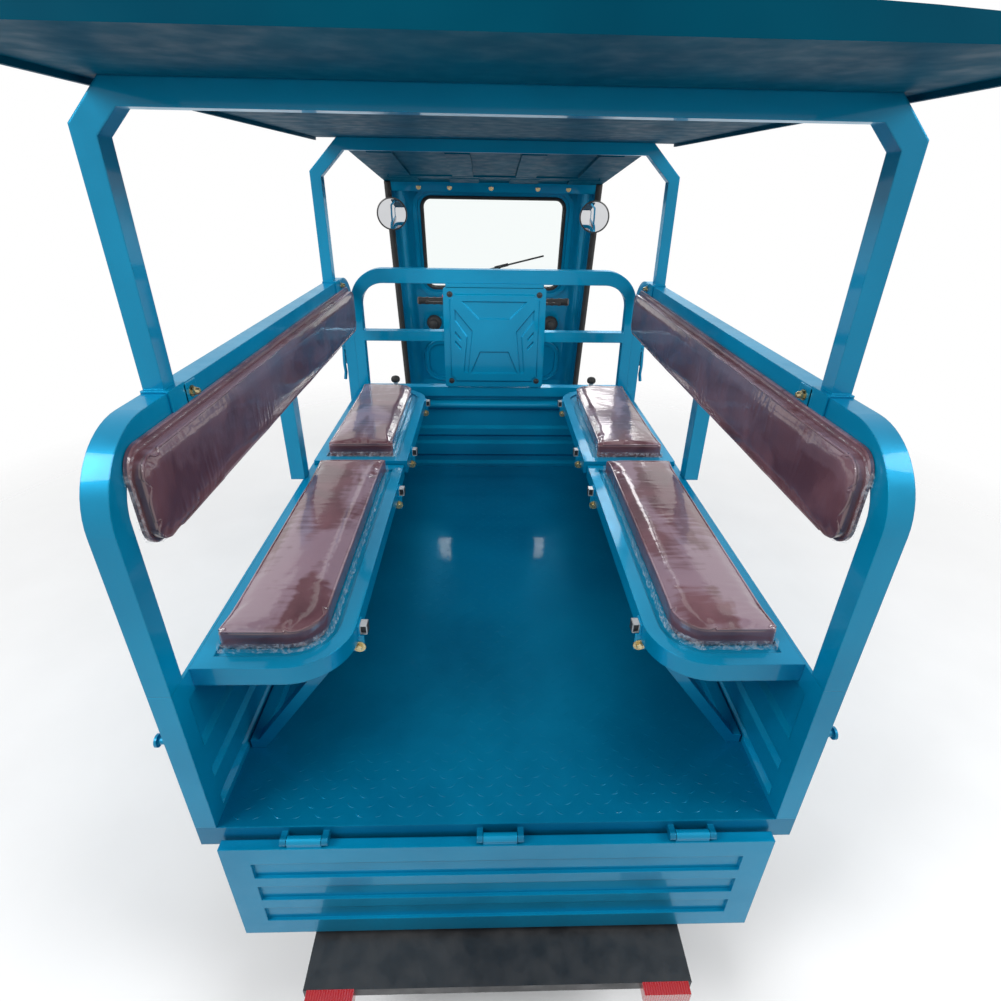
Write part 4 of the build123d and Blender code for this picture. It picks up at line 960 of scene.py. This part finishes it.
TYRE_SHAPE = [
    # share of the way from bead to crown, share of the half width
    (0.0, 0.78), (0.06, 0.92), (0.25, 1.0), (0.38, 1.0), (0.40, 0.975), (0.55, 0.98), (0.74, 0.93),
    (0.86, 0.82), (0.93, 0.68), (0.97, 0.50), (0.985, 0.36), (0.988, 0.34), (0.992, 0.24), (0.993, 0.22),
    (1.0, 0.06),
]
GROOVE = (0.235, 0.345)  # where the rings round the crown lie, as shares of the half width
SHOULDER = 0.80  # share of the way to the crown above which the shoulders are slotted


def tread_depth(i, across, share):
    """How deep the tread is cut at a place: shoulder slots and two rings round the crown."""
    if GROOVE[0] < across < GROOVE[1]:
        return TREAD_CUT
    slot = i % LUG_STEPS in (0, 1)
    shifted = (i + LUG_STEPS // 2) % LUG_STEPS in (0, 1)
    if share > SHOULDER and across > GROOVE[1] and slot:
        return TREAD_CUT
    return TREAD_CUT * 0.7 if across < GROOVE[0] and shifted else 0.0


def treaded_tyre(wheel, body):
    """A tyre with a lugged tread on the CAD tyre's own size."""
    node = "tyre_" + wheel
    low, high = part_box(node)
    mid = (low + high) / 2
    radius, half = (high.z - low.z) / 2 / MM, (high.x - low.x) / 2 / MM
    bead = min(math.hypot(v.co.y - mid.y, v.co.z - mid.z) for v in nodes[node].data.vertices) / MM
    outer = tyre_section(radius, half, bead)
    profile = outer + [(r, -x) for r, x in outer[::-1]]
    bm = bmesh.new()
    rings = []
    count = LUGS * LUG_STEPS
    for i in range(count):
        turn = 2 * math.pi * i / count
        ring = []
        for r, x in profile:
            share = (r - bead) / (radius - bead)
            deep = r - tread_depth(i, abs(x) / half, share)
            spoke = Vector((x, deep * math.cos(turn), deep * math.sin(turn)))
            ring.append(bm.verts.new(mid + spoke * MM))
        rings.append(ring)
    for a, b in zip(rings, rings[1:] + rings[:1]):
        for k in range(len(profile)):
            n = (k + 1) % len(profile)
            bm.faces.new((a[k], a[n], b[n], b[k]))
    tyre = piece("treaded_" + node, bm, "tyre", body)
    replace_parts(tyre, node)


def wheel_nuts(wheel, body):
    """Five nuts on the outer face of a wheel's disc, and on both faces of the front one."""
    low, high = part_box("rim_" + wheel)
    mid = (low + high) / 2
    bm = bmesh.new()
    for side in SIDES if wheel == "front" else (SIDES[0] if mid.x < 0 else SIDES[1],):
        for k in range(NUTS):
            turn = math.radians(360 / NUTS * k + 18)
            start = mid + Vector((side * 0.2, NUT_RING * MM * math.cos(turn), NUT_RING * MM * math.sin(turn)))
            bolt(bm, hit("rim_" + wheel, start, (-side, 0, 0)), (side, 0, 0), 7.0)
    piece("wheel_nuts_" + wheel, bm, "zinc", body)


for wheel, body in WHEELS.items():
    treaded_tyre(wheel, body)
    wheel_nuts(wheel, body)


# Camera, light and stage

CAMERA_AT = (-0.02745, -2.0236, 1.7132)
YAW, PITCH, ROLL = (math.radians(a) for a in (1.898, 27.014, 0.997))


def photo_camera():
    """The photograph's viewpoint, solved from the bed's edges."""
    forward = Vector((math.sin(YAW) * math.cos(PITCH), math.cos(YAW) * math.cos(PITCH), -math.sin(PITCH)))
    right = Vector((math.cos(YAW), -math.sin(YAW), 0))
    up = right.cross(forward)
    right, up = (
        right * math.cos(ROLL) + up * math.sin(ROLL),
        up * math.cos(ROLL) - right * math.sin(ROLL),
    )
    data = bpy.data.cameras.new("photo_camera")
    data.lens = 20.626
    data.sensor_width = 36.0
    data.shift_x = -0.0035
    data.shift_y = -0.026
    data.clip_start = 0.01
    camera = bpy.data.objects.new("photo_camera", data)
    camera.matrix_world = Matrix.Translation(CAMERA_AT) @ Matrix((right, up, -forward)).transposed().to_4x4()
    bpy.context.scene.collection.objects.link(camera)
    bpy.context.scene.camera = camera


def area_light(name, place, target, size, watts, length=None):
    """A soft lamp, round or, with a length, oblong."""
    data = bpy.data.lights.new(name, "AREA")
    data.shape = "RECTANGLE" if length else "DISK"
    data.size = size
    data.size_y = length or size
    data.energy = watts
    lamp = bpy.data.objects.new(name, data)
    lamp.location = place
    lamp.rotation_euler = (Vector(target) - Vector(place)).to_track_quat("-Z", "Y").to_euler()
    bpy.context.scene.collection.objects.link(lamp)
    return lamp


def fading_floor():
    """A pale matt floor that thins out to the white surround away from the vehicle."""
    mat = finish_of("floor", (0.90, 0.90, 0.90), (0.93, 0.93, 0.93), (0.7, 0.8), 3)
    tree = mat.node_tree
    place = tree.nodes.new("ShaderNodeTexCoord")
    reach = tree.nodes.new("ShaderNodeVectorMath")
    reach.operation = "LENGTH"
    tree.links.new(place.outputs["Object"], reach.inputs[0])
    fade = tree.nodes.new("ShaderNodeMapRange")
    fade.inputs["From Min"].default_value = FLOOR_FADE[0]
    fade.inputs["From Max"].default_value = FLOOR_FADE[1]
    tree.links.new(reach.outputs["Value"], fade.inputs["Value"])
    clear = tree.nodes.new("ShaderNodeBsdfTransparent")
    mix = tree.nodes.new("ShaderNodeMixShader")
    tree.links.new(fade.outputs["Result"], mix.inputs["Fac"])
    tree.links.new(tree.nodes["Principled BSDF"].outputs["BSDF"], mix.inputs[1])
    tree.links.new(clear.outputs["BSDF"], mix.inputs[2])
    tree.links.new(mix.outputs["Shader"], tree.nodes["Material Output"].inputs["Surface"])
    return mat


FLOOR_FADE = (1.5, 3.6)


def studio():
    """A pale floor, a white surround, soft lamps round it and one under the roof for the sky's light."""
    world = bpy.data.worlds.new("studio")
    world.use_nodes = True
    bpy.context.scene.world = world
    tree = world.node_tree
    light = tree.nodes["Background"]
    light.inputs["Color"].default_value = (0.94, 0.97, 1.0, 1)
    light.inputs["Strength"].default_value = 0.34
    white = tree.nodes.new("ShaderNodeBackground")
    white.inputs["Color"].default_value = (1, 1, 1, 1)
    white.inputs["Strength"].default_value = 1.0
    rays = tree.nodes.new("ShaderNodeLightPath")
    seen = rays.outputs["Is Camera Ray"]
    for other in ("Is Glossy Ray", "Is Transmission Ray"):
        either = tree.nodes.new("ShaderNodeMath")
        either.operation = "MAXIMUM"
        tree.links.new(seen, either.inputs[0])
        tree.links.new(rays.outputs[other], either.inputs[1])
        seen = either.outputs[0]
    mix = tree.nodes.new("ShaderNodeMixShader")
    tree.links.new(seen, mix.inputs["Fac"])
    tree.links.new(light.outputs["Background"], mix.inputs[1])
    tree.links.new(white.outputs["Background"], mix.inputs[2])
    tree.links.new(mix.outputs["Shader"], tree.nodes["World Output"].inputs["Surface"])
    area_light("key", (-3.2, -2.6, 3.6), (0, -0.2, 0.8), 2.4, 150)
    area_light("fill", (3.4, -2.0, 3.4), (0, 0, 0.9), 2.4, 120)
    area_light("front", (0.6, 4.5, 3.6), (0, 1.0, 1.0), 2.6, 90)
    sky = area_light("sky", (0, -0.35, 1.70), (0, -0.35, 0), 0.95, 13, 2.2)
    sky.visible_camera = False
    sky.visible_glossy = False
    bm = bmesh.new()
    bmesh.ops.create_circle(bm, cap_ends=True, segments=64, radius=9.0)
    mesh = bpy.data.meshes.new("floor")
    bm.to_mesh(mesh)
    bm.free()
    floor = bpy.data.objects.new("floor", mesh)
    bpy.context.scene.collection.objects.link(floor)
    mesh.materials.append(fading_floor())


photo_camera()
studio()
bpy.context.scene.view_settings.view_transform = "Standard"
